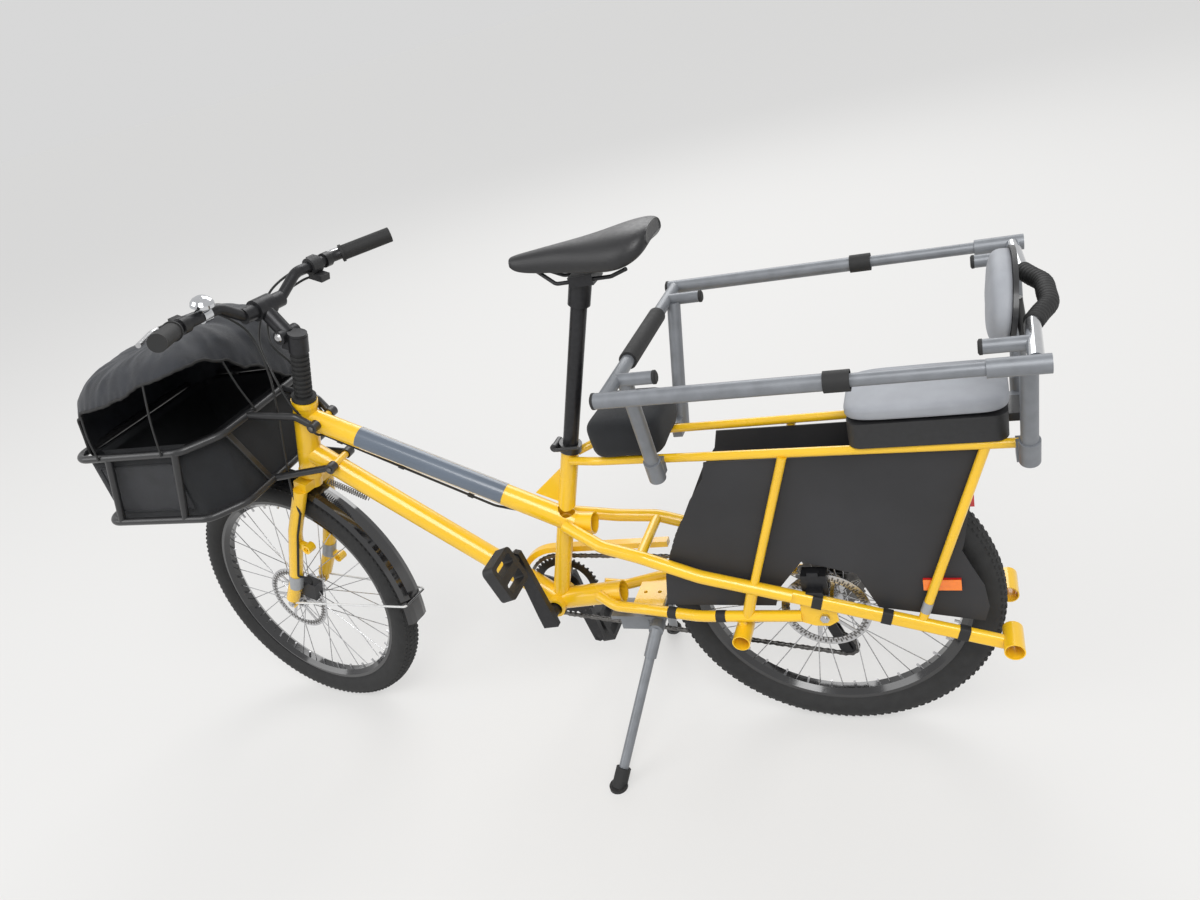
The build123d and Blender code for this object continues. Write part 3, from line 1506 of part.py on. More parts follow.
# Basket cover: a fabric dome over the rim, its left hem drawn up.
cover_sections = [
    (basket_top + basket_tube / 2 + seat_gap, 1278.0, 0.0, 352.0, 420.0, 60.0),
    (890.0, 1276.0, 4.0, 344.0, 404.0, 70.0),
    (955.0, 1268.0, 4.0, 286.0, 312.0, 80.0),
    (990.0, 1256.0, -8.0, 190.0, 190.0, 70.0),
]
cover_thickness = 3.0
with BuildPart() as basket_cover:
    for shrink, role in ((0.0, Mode.ADD), (cover_thickness, Mode.SUBTRACT)):
        faces = []
        for height, ahead, left, length, width, corner in cover_sections:
            with BuildSketch(Plane(origin=at(ahead, left, height - (shrink if shrink else 0.0)))) as section:
                RectangleRounded(length - 2 * shrink, width - 2 * shrink, corner - shrink)
            faces.append(section.sketch.faces()[0])
        loft(faces, ruled=True, mode=role)
    block(at(1300.0, 215.0, 830.0), 220.0, 120.0, 84.0, mode=Mode.SUBTRACT)
finish(basket_cover, "basket_cover")

# Gear and brake cable along the frame to the rear.
with BuildPart() as rear_cable:
    bent_bar(
        [
            at(985.0, 6.0, 726.7),
            at(640.0, 6.0, 534.4),
            at(560.0, -28.0, 486.0),
            at(500.0, -44.0, 470.0),
        ],
        40.0,
        5.0,
    )
finish(rear_cable, "rear_cable")
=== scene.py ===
import bpy
from math import acos, atan2, cos, hypot, pi, radians, sin, sqrt, tan
from mathutils import Matrix, Vector, noise


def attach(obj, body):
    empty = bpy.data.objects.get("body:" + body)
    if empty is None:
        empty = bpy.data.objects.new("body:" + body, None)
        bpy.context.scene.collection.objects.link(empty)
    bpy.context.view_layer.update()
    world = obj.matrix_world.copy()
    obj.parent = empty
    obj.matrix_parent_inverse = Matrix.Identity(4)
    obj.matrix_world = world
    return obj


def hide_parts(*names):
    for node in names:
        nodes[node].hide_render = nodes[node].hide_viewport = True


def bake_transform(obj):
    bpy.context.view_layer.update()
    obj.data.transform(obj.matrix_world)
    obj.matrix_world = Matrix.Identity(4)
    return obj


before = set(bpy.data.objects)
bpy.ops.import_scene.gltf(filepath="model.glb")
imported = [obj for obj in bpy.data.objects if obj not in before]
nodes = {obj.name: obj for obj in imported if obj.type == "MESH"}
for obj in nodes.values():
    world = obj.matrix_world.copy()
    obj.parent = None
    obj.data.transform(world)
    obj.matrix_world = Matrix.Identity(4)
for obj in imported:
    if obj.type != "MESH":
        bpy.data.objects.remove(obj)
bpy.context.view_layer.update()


# Places
# The same two frames as the CAD part: at() measures in millimetres from the rear axle on the ground,
# and steered() from the lower end of the head tube along the turned steering axis.
wheelbase = 1232.0
tyre_radius = 308.0
tyre_half_width = 29.0
tail_reach = 398.0
turned_wheel_allowance = 3.0
rear_axle_x = (tail_reach - wheelbase - tyre_radius + turned_wheel_allowance) / 2
head_angle = radians(70.1)
steer_turn = radians(-8.3)
fork_offset = 47.6
crown_above_axle = 365.0


def at(ahead, left, up):
    return Vector((rear_axle_x + ahead, left, up)) / 1000.0


wheel_lean = sin(steer_turn) * cos(head_angle)
hub_height = (tyre_radius - tyre_half_width) * sqrt(1 - wheel_lean ** 2) + tyre_half_width
crown = Vector((
    rear_axle_x + wheelbase - fork_offset * sin(head_angle) - crown_above_axle * cos(head_angle),
    0.0,
    hub_height + crown_above_axle * sin(head_angle)
    - fork_offset * cos(head_angle) * cos(steer_turn),
))
axis = Vector((-cos(head_angle), 0.0, sin(head_angle)))
turned = Matrix.Rotation(steer_turn, 3, axis)
forward = turned @ Vector((sin(head_angle), 0.0, cos(head_angle)))
leftward = turned @ Vector((0.0, 1.0, 0.0))


def steered(ahead, left, up):
    return (crown + forward * ahead + leftward * left + axis * up) / 1000.0


# Camera
# It stands behind and to the left of the bicycle, looks down on it and is tilted, as the photograph was.
camera_place = at(-265.9, 1380.5, 1420.6)
yaw, pitch, roll = radians(25.15), radians(26.93), radians(-15.53)
camera_data = bpy.data.cameras.new("camera")
camera = bpy.data.objects.new("camera", camera_data)
bpy.context.collection.objects.link(camera)
aim = Vector((sin(yaw) * cos(pitch), -cos(yaw) * cos(pitch), -sin(pitch)))
level_right = aim.cross(Vector((0, 0, 1))).normalized()
level_up = level_right.cross(aim)
camera_right = cos(roll) * level_right + sin(roll) * level_up
camera_up = -sin(roll) * level_right + cos(roll) * level_up
camera.matrix_world = Matrix.Translation(camera_place) @ Matrix((
    (camera_right.x, camera_up.x, -aim.x),
    (camera_right.y, camera_up.y, -aim.y),
    (camera_right.z, camera_up.z, -aim.z),
)).to_4x4()
camera_data.lens = 27.24
camera_data.sensor_width = 36.0
camera_data.clip_end = 60.0
bpy.context.scene.camera = camera


# Floor and light
# A plain pale floor with three soft lamps round the bicycle and an even pale world. What the camera
# and the reflections see of the floor and the world is lightened there, and not by the lamps.
def set_inputs(node, **values):
    """Sets inputs of a node by name, with _ for a space, and gives the node back."""
    for name, value in values.items():
        node.inputs[name.replace("_", " ")].default_value = value
    return node


def seen_or_mirrored(tree):
    """A value of 1 on what the camera or a reflection sees, and 0 elsewhere."""
    path = tree.nodes.new("ShaderNodeLightPath")
    either = tree.nodes.new("ShaderNodeMath")
    either.operation = "MAXIMUM"
    tree.links.new(path.outputs["Is Camera Ray"], either.inputs[0])
    tree.links.new(path.outputs["Is Glossy Ray"], either.inputs[1])
    return either.outputs["Value"]


floor_reach = 400
paper_share = 0.55
floor_mesh = bpy.data.meshes.new("floor")
floor_mesh.from_pydata(
    [(x * floor_reach, y * floor_reach, 0) for x, y in ((-1, -1), (1, -1), (1, 1), (-1, 1))],
    [],
    [(0, 1, 2, 3)],
)
floor = bpy.data.objects.new("floor", floor_mesh)
bpy.context.collection.objects.link(floor)
floor_look = bpy.data.materials.new("floor")
floor_look.use_nodes = True
floor_tree = floor_look.node_tree
floor_shader = floor_tree.nodes["Principled BSDF"]
set_inputs(floor_shader, Base_Color=(0.62, 0.61, 0.59, 1), Roughness=0.9)
floor_paper = set_inputs(floor_tree.nodes.new("ShaderNodeEmission"), Color=(0.90, 0.895, 0.885, 1))
floor_share = floor_tree.nodes.new("ShaderNodeMath")
floor_share.operation = "MULTIPLY"
floor_share.inputs[1].default_value = paper_share
floor_mix = floor_tree.nodes.new("ShaderNodeMixShader")
link = floor_tree.links.new
link(seen_or_mirrored(floor_tree), floor_share.inputs[0])
link(floor_share.outputs["Value"], floor_mix.inputs["Fac"])
link(floor_shader.outputs["BSDF"], floor_mix.inputs[1])
link(floor_paper.outputs["Emission"], floor_mix.inputs[2])
link(floor_mix.outputs["Shader"], floor_tree.nodes["Material Output"].inputs["Surface"])
floor_mesh.materials.append(floor_look)

lamp_size = 3.4
for name, place, target, energy in (
    ("key", (-2.2, 3.6, 5.0), (0, 0, 0.4), 230.0),
    ("fill", (3.8, 3.0, 3.4), (0, 0, 0.5), 90.0),
    ("rim", (0.4, -4.2, 4.0), (0, 0, 0.6), 120.0),
):
    lamp_data = bpy.data.lights.new(name, "AREA")
    lamp_data.size = lamp_size
    lamp_data.energy = energy
    lamp = bpy.data.objects.new(name, lamp_data)
    bpy.context.collection.objects.link(lamp)
    lamp.location = place
    lamp.rotation_euler = (Vector(target) - Vector(place)).to_track_quat("-Z", "Y").to_euler()

world = bpy.data.worlds.new("world")
bpy.context.scene.world = world
world.use_nodes = True
world_tree = world.node_tree
world_light = world_tree.nodes["Background"]
set_inputs(world_light, Color=(0.86, 0.88, 0.92, 1), Strength=0.75)
world_paper = world_tree.nodes.new("ShaderNodeBackground")
set_inputs(world_paper, Color=(0.685, 0.685, 0.685, 1))
world_mix = world_tree.nodes.new("ShaderNodeMixShader")
link = world_tree.links.new
link(seen_or_mirrored(world_tree), world_mix.inputs["Fac"])
link(world_light.outputs["Background"], world_mix.inputs[1])
link(world_paper.outputs["Background"], world_mix.inputs[2])
link(world_mix.outputs["Shader"], world_tree.nodes["World Output"].inputs["Surface"])
bpy.context.scene.view_settings.view_transform = "Standard"


# Frame
# Metal tubes welded together under one coat of glossy yellow paint. The tubes keep their CAD shape,
# and the paint varies a little in tone and gloss.
def add_relief(tree, height, strength, distance):
    bump = set_inputs(tree.nodes.new("ShaderNodeBump"), Strength=strength, Distance=distance)
    tree.links.new(height, bump.inputs["Height"])
    tree.links.new(bump.outputs["Normal"], tree.nodes["Principled BSDF"].inputs["Normal"])


def finish_of(name, color, rough, metallic=0.0, coat=0.0, tone=0.10, grain=120.0, relief=0.0,
              relief_scale=900.0, sheen=0.0, wear=0.12):
    """A finish whose tone and gloss drift over the surface, with a fine relief if asked."""
    look = bpy.data.materials.new(name)
    look.use_nodes = True
    tree = look.node_tree
    link = tree.links.new
    shader = set_inputs(tree.nodes["Principled BSDF"], Metallic=metallic, Coat_Weight=coat,
                        Coat_Roughness=0.08, Sheen_Weight=sheen)
    where = tree.nodes.new("ShaderNodeTexCoord").outputs["Object"]
    cloud = set_inputs(tree.nodes.new("ShaderNodeTexNoise"), Scale=grain, Detail=4.0)
    link(where, cloud.inputs["Vector"])
    ramp = tree.nodes.new("ShaderNodeValToRGB")
    for end, place, share in ((0, 0.3, 1 - tone), (1, 0.7, 1 + tone)):
        ramp.color_ramp.elements[end].position = place
        ramp.color_ramp.elements[end].color = (*(min(1.0, c * share) for c in color), 1)
    link(cloud.outputs["Fac"], ramp.inputs["Fac"])
    link(ramp.outputs["Color"], shader.inputs["Base Color"])
    gloss = set_inputs(tree.nodes.new("ShaderNodeMapRange"), To_Min=max(0.02, rough - wear),
                       To_Max=min(1.0, rough + wear))
    link(cloud.outputs["Fac"], gloss.inputs["Value"])
    link(gloss.outputs["Result"], shader.inputs["Roughness"])
    if relief:
        fine = set_inputs(tree.nodes.new("ShaderNodeTexNoise"), Scale=relief_scale)
        link(where, fine.inputs["Vector"])
        add_relief(tree, fine.outputs["Fac"], relief, 0.001)
    return look


def dress(look, *names):
    """Gives one finish to nodes of the part."""
    for name in names:
        mesh = nodes[name].data
        mesh.materials.clear()
        mesh.materials.append(look)


yellow = finish_of("yellow_paint", (0.84, 0.50, 0.012), 0.28, coat=0.6, tone=0.05, grain=9.0,
                   relief=0.03)
dress(yellow, "head_tube", "seat_tube", "top_tube", "down_tube", "bottom_bracket")
dress(yellow, "upper_stays", "lower_stays", "accessory_tubes", "rack_rails", "rack_struts")


# Top tube panel
# A blue-grey panel on both sides of the top tube, with a thin white line above it and one below.
# They are thin printed sheets, each made as a part of a sleeve on the round tube.
def piece(name, points, faces, look, body, smooth=True):
    """A piece of the scene that rides on a body, or on none."""
    mesh = bpy.data.meshes.new(name)
    mesh.from_pydata([tuple(p) for p in points], [], faces)
    mesh.validate()
    mesh.update()
    mesh.materials.append(look)
    if smooth:
        mesh.shade_smooth()
    shape = bpy.data.objects.new(name, mesh)
    bpy.context.collection.objects.link(shape)
    if body:
        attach(shape, body)
    return shape


def sleeve(name, start, stop, radius, look, body, sides=32, wall=0.5, arc=(0.0, 2 * pi)):
    """A thin sleeve round a straight tube, whole or a part of the way round."""
    run = (stop - start).normalized()
    across = run.cross(Vector((0, 1, 0))).normalized()
    other = across.cross(run)
    whole = arc[1] - arc[0] > 6.28
    steps = sides if whole else sides + 1
    points, faces = [], []
    for end_at in (start, stop):
        for r in (radius, radius + wall / 1000):
            for i in range(steps):
                angle = arc[0] + (arc[1] - arc[0]) * i / sides
                points.append(end_at + (across * cos(angle) + other * sin(angle)) * r)
    inner0, outer0, inner1, outer1 = 0, steps, 2 * steps, 3 * steps
    for i in range(sides):
        j = (i + 1) % steps
        faces.append((outer0 + i, outer0 + j, outer1 + j, outer1 + i))
        faces.append((inner0 + j, inner0 + i, inner1 + i, inner1 + j))
        faces.append((inner0 + i, inner0 + j, outer0 + j, outer0 + i))
        faces.append((inner1 + j, inner1 + i, outer1 + i, outer1 + j))
    if not whole:
        last = steps - 1
        faces.append((inner0, outer0, outer1, inner1))
        faces.append((inner0 + last, inner1 + last, outer1 + last, outer0 + last))
    return piece(name, points, faces, look, body, smooth=False)


panel_radius = 0.02255
line_radius = 0.02262
panel_blue = finish_of("panel_blue_grey", (0.105, 0.13, 0.165), 0.3, coat=0.5, tone=0.05, grain=9.0)
panel_white = finish_of("panel_white", (0.75, 0.76, 0.77), 0.35, coat=0.4, tone=0.03)
tube_front, tube_back = at(1012, 0, 769), at(473.8, 0, 482.2)
for name, first, last, look, radius, arc in (
    ("top_tube_panel", 0.20, 0.74, panel_blue, panel_radius, (1.20, 3.42)),
    ("top_tube_line", 0.20, 0.74, panel_white, line_radius, (3.50, 3.58)),
    ("top_tube_lower_line", 0.22, 0.74, panel_white, line_radius, (1.06, 1.12)),
    ("top_tube_panel_right", 0.20, 0.74, panel_blue, panel_radius, (3.66, 5.08)),
):
    sleeve(name, tube_front.lerp(tube_back, first), tube_front.lerp(tube_back, last), radius, look,
           "frame", arc=arc)


# Bands and straps
# Grey reflective bands round the tail tubes and rear struts, and black rubber straps round the
# lower stays and the flat side beams. All are wrapped on, a little proud of the tube.
tail_tube_wrap = 0.0171
strut_wrap = 0.0083
stay_wrap = 0.0113
strap_half = (0.0087, 0.0137)
strap_reach = 0.009
strap_corner = 0.4
strap_sides = 24
reflective_grey = finish_of("reflective_grey", (0.34, 0.35, 0.36), 0.35, metallic=0.3, tone=0.06,
                            relief=0.1)
rubber = finish_of("rubber", (0.014, 0.014, 0.014), 0.7, tone=0.2, relief=0.3)


def ring_faces(columns, rings, first_end=True, last_end=True):
    """Faces between rings of points, and over the first and the last ring if asked."""
    faces = []
    for low in range(0, (rings - 1) * columns, columns):
        for i in range(columns):
            j = (i + 1) % columns
            faces.append((low + i, low + j, low + columns + j, low + columns + i))
    if first_end:
        faces.append(tuple(reversed(range(columns))))
    if last_end:
        faces.append(tuple(range((rings - 1) * columns, rings * columns)))
    return faces


def signed_power(value, power):
    return abs(value) ** power * (1 if value > 0 else -1)


def beam_strap(name, middle, run):
    """A strap round a flat beam: a short tube whose section is a rounded rectangle."""
    rise = Vector((0, 1, 0)).cross(run).normalized()
    ring = []
    for i in range(strap_sides):
        angle = 2 * pi * i / strap_sides
        ring.append((
            strap_half[0] * signed_power(cos(angle), strap_corner),
            strap_half[1] * signed_power(sin(angle), strap_corner),
        ))
    points = []
    for shift in (-strap_reach, strap_reach):
        points += [middle + run * shift + Vector((0, x, 0)) + rise * y for x, y in ring]
    piece(name, points, ring_faces(strap_sides, 2), rubber, "frame", smooth=False)


for side, word in ((1, "left"), (-1, "right")):
    sleeve(f"tail_tube_sleeve_{word}", at(-313, side * 62, 265), at(-313, side * 101, 265),
           tail_tube_wrap, reflective_grey, "frame")
    top, foot = at(-285, side * 66, 648), at(-166, side * 74, 300)
    sleeve(f"rear_strut_band_{word}", top.lerp(foot, 0.87), top.lerp(foot, 0.93), strut_wrap,
           reflective_grey, "frame")
    sleeve(f"lower_stay_strap_{word}_a", at(303, side * 60.2, 305), at(285, side * 62.8, 304.8),
           stay_wrap, rubber, "frame")
    sleeve(f"lower_stay_strap_{word}_b", at(205, side * 70, 304.7), at(186, side * 70, 305.1),
           stay_wrap, rubber, "frame")
    beam_front, beam_rear = at(52, side * 77, 360), at(-306, side * 75, 258)
    for place, share in (("a", 0.12), ("b", 0.45), ("c", 0.80)):
        beam_strap(f"beam_strap_{word}_{place}", beam_front.lerp(beam_rear, share),
                   (beam_rear - beam_front).normalized())


# Skirts and lenses
# Black plastic skirts cover the rear wheel's upper half, with an orange lens near the rear edge of
# each. The red rear lens keeps its CAD shape.
def box_shape(length, width, height, x=0.0, y=0.0, z=0.0, taper=1.0):
    """Points and faces of a box that lies along Y, its top narrower than its foot by the taper."""
    points = []
    for k, share in ((-1, 1.0), (1, taper)):
        for i, j in ((-1, -1), (1, -1), (1, 1), (-1, 1)):
            points.append((
                x + k * height / 2, y + i * length / 2 * share, z + j * width / 2 * share,
            ))
    faces = [(3, 2, 1, 0), (4, 5, 6, 7), (0, 1, 5, 4), (1, 2, 6, 5), (2, 3, 7, 6), (3, 0, 4, 7)]
    return points, faces


skirt_plastic = finish_of("skirt_plastic", (0.022, 0.022, 0.024), 0.62, tone=0.25, grain=6.0,
                          relief=0.15)
red_lens = finish_of("red_lens", (0.55, 0.01, 0.01), 0.2, coat=0.8, tone=0.05)
orange_lens = finish_of("orange_lens", (0.85, 0.20, 0.01), 0.2, coat=0.8, tone=0.05)
dress(skirt_plastic, "skirts")
dress(red_lens, "reflectors")
for side, word in ((1, "left"), (-1, "right")):
    points, faces = box_shape(0.062, 0.0012, 0.022)
    lens_place = at(-205, side * 64.4, 375)
    points = [lens_place + Vector((p[1], p[2], p[0])) for p in points]
    piece(f"side_lens_{word}", points, faces, orange_lens, "frame", smooth=False)


# Tyres
# Black rubber tyres with five staggered rows of small tread blocks, a ring of 132 in each row.
# Geometry Nodes repeat one block round the wheel.
def ring_group():
    group = bpy.data.node_groups.new("ring_of_pieces", "GeometryNodeTree")
    for name, kind in (
        ("Element", "Object"), ("Count", "Int"), ("Radius", "Float"), ("Start", "Float"),
        ("Material", "Material"),
    ):
        group.interface.new_socket(name, in_out="INPUT", socket_type=f"NodeSocket{kind}")
    group.interface.new_socket("Geometry", in_out="OUTPUT", socket_type="NodeSocketGeometry")
    new = group.nodes.new
    given = new("NodeGroupInput")
    result = new("NodeGroupOutput")
    circle = new("GeometryNodeMeshCircle")
    index = new("GeometryNodeInputIndex")
    share = new("ShaderNodeMath")
    share.operation = "DIVIDE"
    turn = new("ShaderNodeMath")
    turn.operation = "MULTIPLY"
    turn.inputs[1].default_value = 2 * pi
    spin = new("ShaderNodeCombineXYZ")
    element = new("GeometryNodeObjectInfo")
    put = new("GeometryNodeInstanceOnPoints")
    about = new("GeometryNodeTransform")
    lean = new("ShaderNodeCombineXYZ")
    real = new("GeometryNodeRealizeInstances")
    finish = new("GeometryNodeSetMaterial")
    link = group.links.new
    link(given.outputs["Count"], circle.inputs["Vertices"])
    link(given.outputs["Radius"], circle.inputs["Radius"])
    link(index.outputs[0], share.inputs[0])
    link(given.outputs["Count"], share.inputs[1])
    link(share.outputs[0], turn.inputs[0])
    link(turn.outputs[0], spin.inputs["Z"])
    link(circle.outputs["Mesh"], put.inputs["Points"])
    link(given.outputs["Element"], element.inputs["Object"])
    link(element.outputs["Geometry"], put.inputs["Instance"])
    link(spin.outputs[0], put.inputs["Rotation"])
    link(put.outputs["Instances"], about.inputs["Geometry"])
    link(given.outputs["Start"], lean.inputs["Z"])
    link(lean.outputs[0], about.inputs["Rotation"])
    link(about.outputs["Geometry"], real.inputs["Geometry"])
    link(real.outputs["Geometry"], finish.inputs["Geometry"])
    link(given.outputs["Material"], finish.inputs["Material"])
    link(finish.outputs["Geometry"], result.inputs["Geometry"])
    return group


rings = ring_group()
ring_sockets = {
    item.name: item.identifier for item in rings.interface.items_tree if item.in_out == "INPUT"
}


def ring_mesh(points, faces, count, radius, start, look):
    """The mesh of one element repeated round the Z axis."""
    element_mesh = bpy.data.meshes.new("element")
    element_mesh.from_pydata(points, [], faces)
    element = bpy.data.objects.new("element", element_mesh)
    bpy.context.collection.objects.link(element)
    holder = bpy.data.objects.new("holder", bpy.data.meshes.new("holder"))
    bpy.context.collection.objects.link(holder)
    repeat = holder.modifiers.new("ring", "NODES")
    repeat.node_group = rings
    for name, value in (
        ("Element", element), ("Count", count), ("Radius", radius), ("Start", start), ("Material", look),
    ):
        repeat[ring_sockets[name]] = value
    depsgraph = bpy.context.evaluated_depsgraph_get()
    depsgraph.update()
    mesh = bpy.data.meshes.new_from_object(holder.evaluated_get(depsgraph))
    bpy.data.objects.remove(holder)
    bpy.data.objects.remove(element)
    return mesh


front_hub_place = steered(fork_offset, 0, -crown_above_axle)
wheel_places = {
    "front": (front_hub_place, forward, leftward, axis),
    "rear": (at(0, 0, tyre_radius), Vector((1, 0, 0)), Vector((0, 1, 0)), Vector((0, 0, 1))),
}


def wheel_matrix(end):
    """From a ring round Z to a ring round the wheel's axle."""
    hub, ahead, left, up = wheel_places[end]
    return Matrix((
        (ahead.x, up.x, -left.x, hub.x),
        (ahead.y, up.y, -left.y, hub.y),
        (ahead.z, up.z, -left.z, hub.z),
        (0, 0, 0, 1),
    ))


def joined(name, meshes, body, place):
    """One piece from several meshes, moved to its place."""
    points, faces, looks, which = [], [], [], []
    for mesh in meshes:
        first = len(points)
        points += [v.co[:] for v in mesh.vertices]
        for face in mesh.polygons:
            faces.append(tuple(first + i for i in face.vertices))
            look = mesh.materials[face.material_index]
            if look not in looks:
                looks.append(look)
            which.append(looks.index(look))
    merged = bpy.data.meshes.new(name)
    merged.from_pydata(points, [], faces)
    for look in looks:
        merged.materials.append(look)
    merged.polygons.foreach_set("material_index", which)
    merged.transform(place)
    merged.update()
    shape = bpy.data.objects.new(name, merged)
    bpy.context.collection.objects.link(shape)
    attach(shape, body)


blocks_round = 132
block_height = 0.0028
block_taper = 0.86
tread_radius = 307.4
tyre_rubber = finish_of("tyre_rubber", (0.018, 0.018, 0.018), 0.78, tone=0.3, grain=60.0, relief=0.4)
dress(tyre_rubber, "front_tyre", "rear_tyre")
for end in ("front", "rear"):
    rows = []
    for z, drop, start, length, width in (
        (0.0, 0.0, 0.0, 7.5, 9.0),
        (11.5, 2.4, 0.024, 7.0, 8.0),
        (-11.5, 2.4, 0.024, 7.0, 8.0),
        (20.0, 8.0, 0.0, 6.5, 5.0),
        (-20.0, 8.0, 0.0, 6.5, 5.0),
    ):
        points, faces = box_shape(length / 1000, width / 1000, block_height, z=z / 1000,
                                  taper=block_taper)
        rows.append(ring_mesh(points, faces, blocks_round, (tread_radius - drop) / 1000, start,
                              tyre_rubber))
    joined(f"{end}_tread", rows, f"{end}_wheel", wheel_matrix(end))


# Rims, hubs and rotors
# Black rims, steel hubs with their spokes, and steel rotors on the left. Each rim has 32 spoke
# nipples and one valve, and each rotor six bolts and two rows of raised slot edges.
spokes = 32
rim_inner_radius = 0.238
bolt_circle = 0.018
slot_count = 48
black_gloss = finish_of("black_gloss", (0.010, 0.010, 0.011), 0.12, coat=0.8, tone=0.2, grain=14.0)
steel = finish_of("steel", (0.55, 0.55, 0.56), 0.28, metallic=1.0, tone=0.08, relief=0.05)
dark_steel = finish_of("dark_steel", (0.16, 0.155, 0.15), 0.38, metallic=0.9, tone=0.2, relief=0.1)
dress(black_gloss, "front_rim", "rear_rim")
dress(steel, "front_hub", "rear_hub", "front_axle", "rear_axle")
for end, rotor_y in (("front", 34.5), ("rear", 52.0)):
    nipple = box_shape(0.0038, 0.0038, 0.011, x=-0.005)
    valve = box_shape(0.005, 0.005, 0.036, x=-0.018)
    bolt = box_shape(0.0075, 0.0024, 0.0075, z=-(rotor_y + 2.0) / 1000)
    slot_edge = box_shape(0.0032, 0.0006, 0.0075, z=-(rotor_y + 1.2) / 1000)
    fittings = [
        ring_mesh(*nipple, spokes, rim_inner_radius, pi / spokes, steel),
        ring_mesh(*valve, 1, rim_inner_radius, -0.9, dark_steel),
        ring_mesh(*bolt, 6, bolt_circle, 0.2, dark_steel),
        ring_mesh(*slot_edge, slot_count, 0.0742, 0.0, dark_steel),
        ring_mesh(*slot_edge, slot_count, 0.0700, 0.065, dark_steel),
    ]
    joined(f"{end}_wheel_fittings", fittings, f"{end}_wheel", wheel_matrix(end))


# Chain and gears
# Steel chain on black alloy cranks, steel sprockets and a black changer. The links follow the same
# tangents and arcs as the plain band of the part: pairs of side plates with a roller between them.
chain_pitch = 12.7
chain_y = -42.5
plate_outline = (
    (-9.6, 0), (-8.2, 2.9), (-5.4, 3.7), (0, 2.6), (5.4, 3.7), (8.2, 2.9),
    (9.6, 0), (8.2, -2.9), (5.4, -3.7), (0, -2.6), (-5.4, -3.7), (-8.2, -2.9),
)
plate_half_thickness = 0.45
outer_plate, inner_plate = 3.4, 2.4
roller_radius = 2.2
roller_half_length = 4.1
roller_sides = 8
arc_step = 4.0
run_steps = 60
black_alloy = finish_of("black_alloy", (0.020, 0.020, 0.022), 0.36, metallic=0.4, tone=0.2,
                        relief=0.05)
black_plastic = finish_of("black_plastic", (0.018, 0.018, 0.019), 0.55, tone=0.2, relief=0.25,
                          relief_scale=1400)
dress(black_alloy, "crankset", "rear_derailleur")
dress(dark_steel, "cassette", "chain")
dress(black_plastic, "left_pedal", "right_pedal")
dress(yellow, "chain_guard")


def pitch_radius(teeth):
    return chain_pitch / 2 / sin(pi / teeth)


# Each wheel that the chain passes: place ahead, height, radius, and 1 or -1 for the way round it.
chain_circles = [
    (565.0, 290.0, pitch_radius(40), 1),
    (-12.0, 137.0, 21.0, 1),
    (26.0, 222.0, 21.0, -1),
    (0.0, 308.0, pitch_radius(24), 1),
]
runs = []
for here in range(len(chain_circles)):
    x0, z0, r0, s0 = chain_circles[here]
    x1, z1, r1, s1 = chain_circles[(here + 1) % len(chain_circles)]
    lean = atan2(z1 - z0, x1 - x0) + acos((r0 * s0 - r1 * s1) / hypot(x1 - x0, z1 - z0))
    runs.append((
        (x0 + r0 * s0 * cos(lean), z0 + r0 * s0 * sin(lean)),
        (x1 + r1 * s1 * cos(lean), z1 + r1 * s1 * sin(lean)),
    ))
loop = []
for here, (x, z, r, sense) in enumerate(chain_circles):
    arrive, leave = runs[here - 1][1], runs[here][0]
    first = atan2(arrive[1] - z, arrive[0] - x)
    turn = (sense * (first - atan2(leave[1] - z, leave[0] - x))) % (2 * pi)
    steps = max(3, int(r * turn / arc_step))
    for step in range(steps + 1):
        angle = first - sense * turn * step / steps
        loop.append((x + r * cos(angle), z + r * sin(angle)))
    start, stop = runs[here]
    for step in range(1, run_steps):
        loop.append((
            start[0] + (stop[0] - start[0]) * step / run_steps,
            start[1] + (stop[1] - start[1]) * step / run_steps,
        ))
lengths = [0.0]
for (xa, za), (xb, zb) in zip(loop, loop[1:] + loop[:1]):
    lengths.append(lengths[-1] + hypot(xb - xa, zb - za))
links = round(lengths[-1] / chain_pitch)
pins = []
spot = 0
for link in range(links):
    reach = lengths[-1] * link / links
    while lengths[spot + 1] < reach:
        spot += 1
    share = (reach - lengths[spot]) / (lengths[spot + 1] - lengths[spot])
    (xa, za), (xb, zb) = loop[spot % len(loop)], loop[(spot + 1) % len(loop)]
    pins.append((xa + (xb - xa) * share, za + (zb - za) * share))
points, faces = [], []


def add_prism(outline, low, high):
    """Adds a bar across the bicycle from its outline, in millimetres ahead and up."""
    first, count = len(points), len(outline)
    for y in (low, high):
        points.extend(at(ahead, y, up) for ahead, up in outline)
    faces.append(tuple(range(first, first + count)))
    faces.append(tuple(reversed(range(first + count, first + 2 * count))))
    for i in range(count):
        j = (i + 1) % count
        faces.append((first + i, first + count + i, first + count + j, first + j))


for link in range(links):
    (xa, za), (xb, zb) = pins[link], pins[(link + 1) % links]
    ahead = Vector((xb - xa, zb - za)).normalized()
    side = Vector((-ahead.y, ahead.x))
    middle = Vector(((xa + xb) / 2, (za + zb) / 2))
    outline = [middle + ahead * along_it + side * across for along_it, across in plate_outline]
    apart = outer_plate if link % 2 else inner_plate
    for y in (chain_y - apart, chain_y + apart):
        add_prism(outline, y - plate_half_thickness, y + plate_half_thickness)
    angles = [2 * pi * i / roller_sides for i in range(roller_sides)]
    roller = [(xa + roller_radius * cos(a), za + roller_radius * sin(a)) for a in angles]
    add_prism(roller, chain_y - roller_half_length, chain_y + roller_half_length)
chain_links = piece("chain_links", points, faces, dark_steel, "frame", smooth=False)
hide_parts("chain")


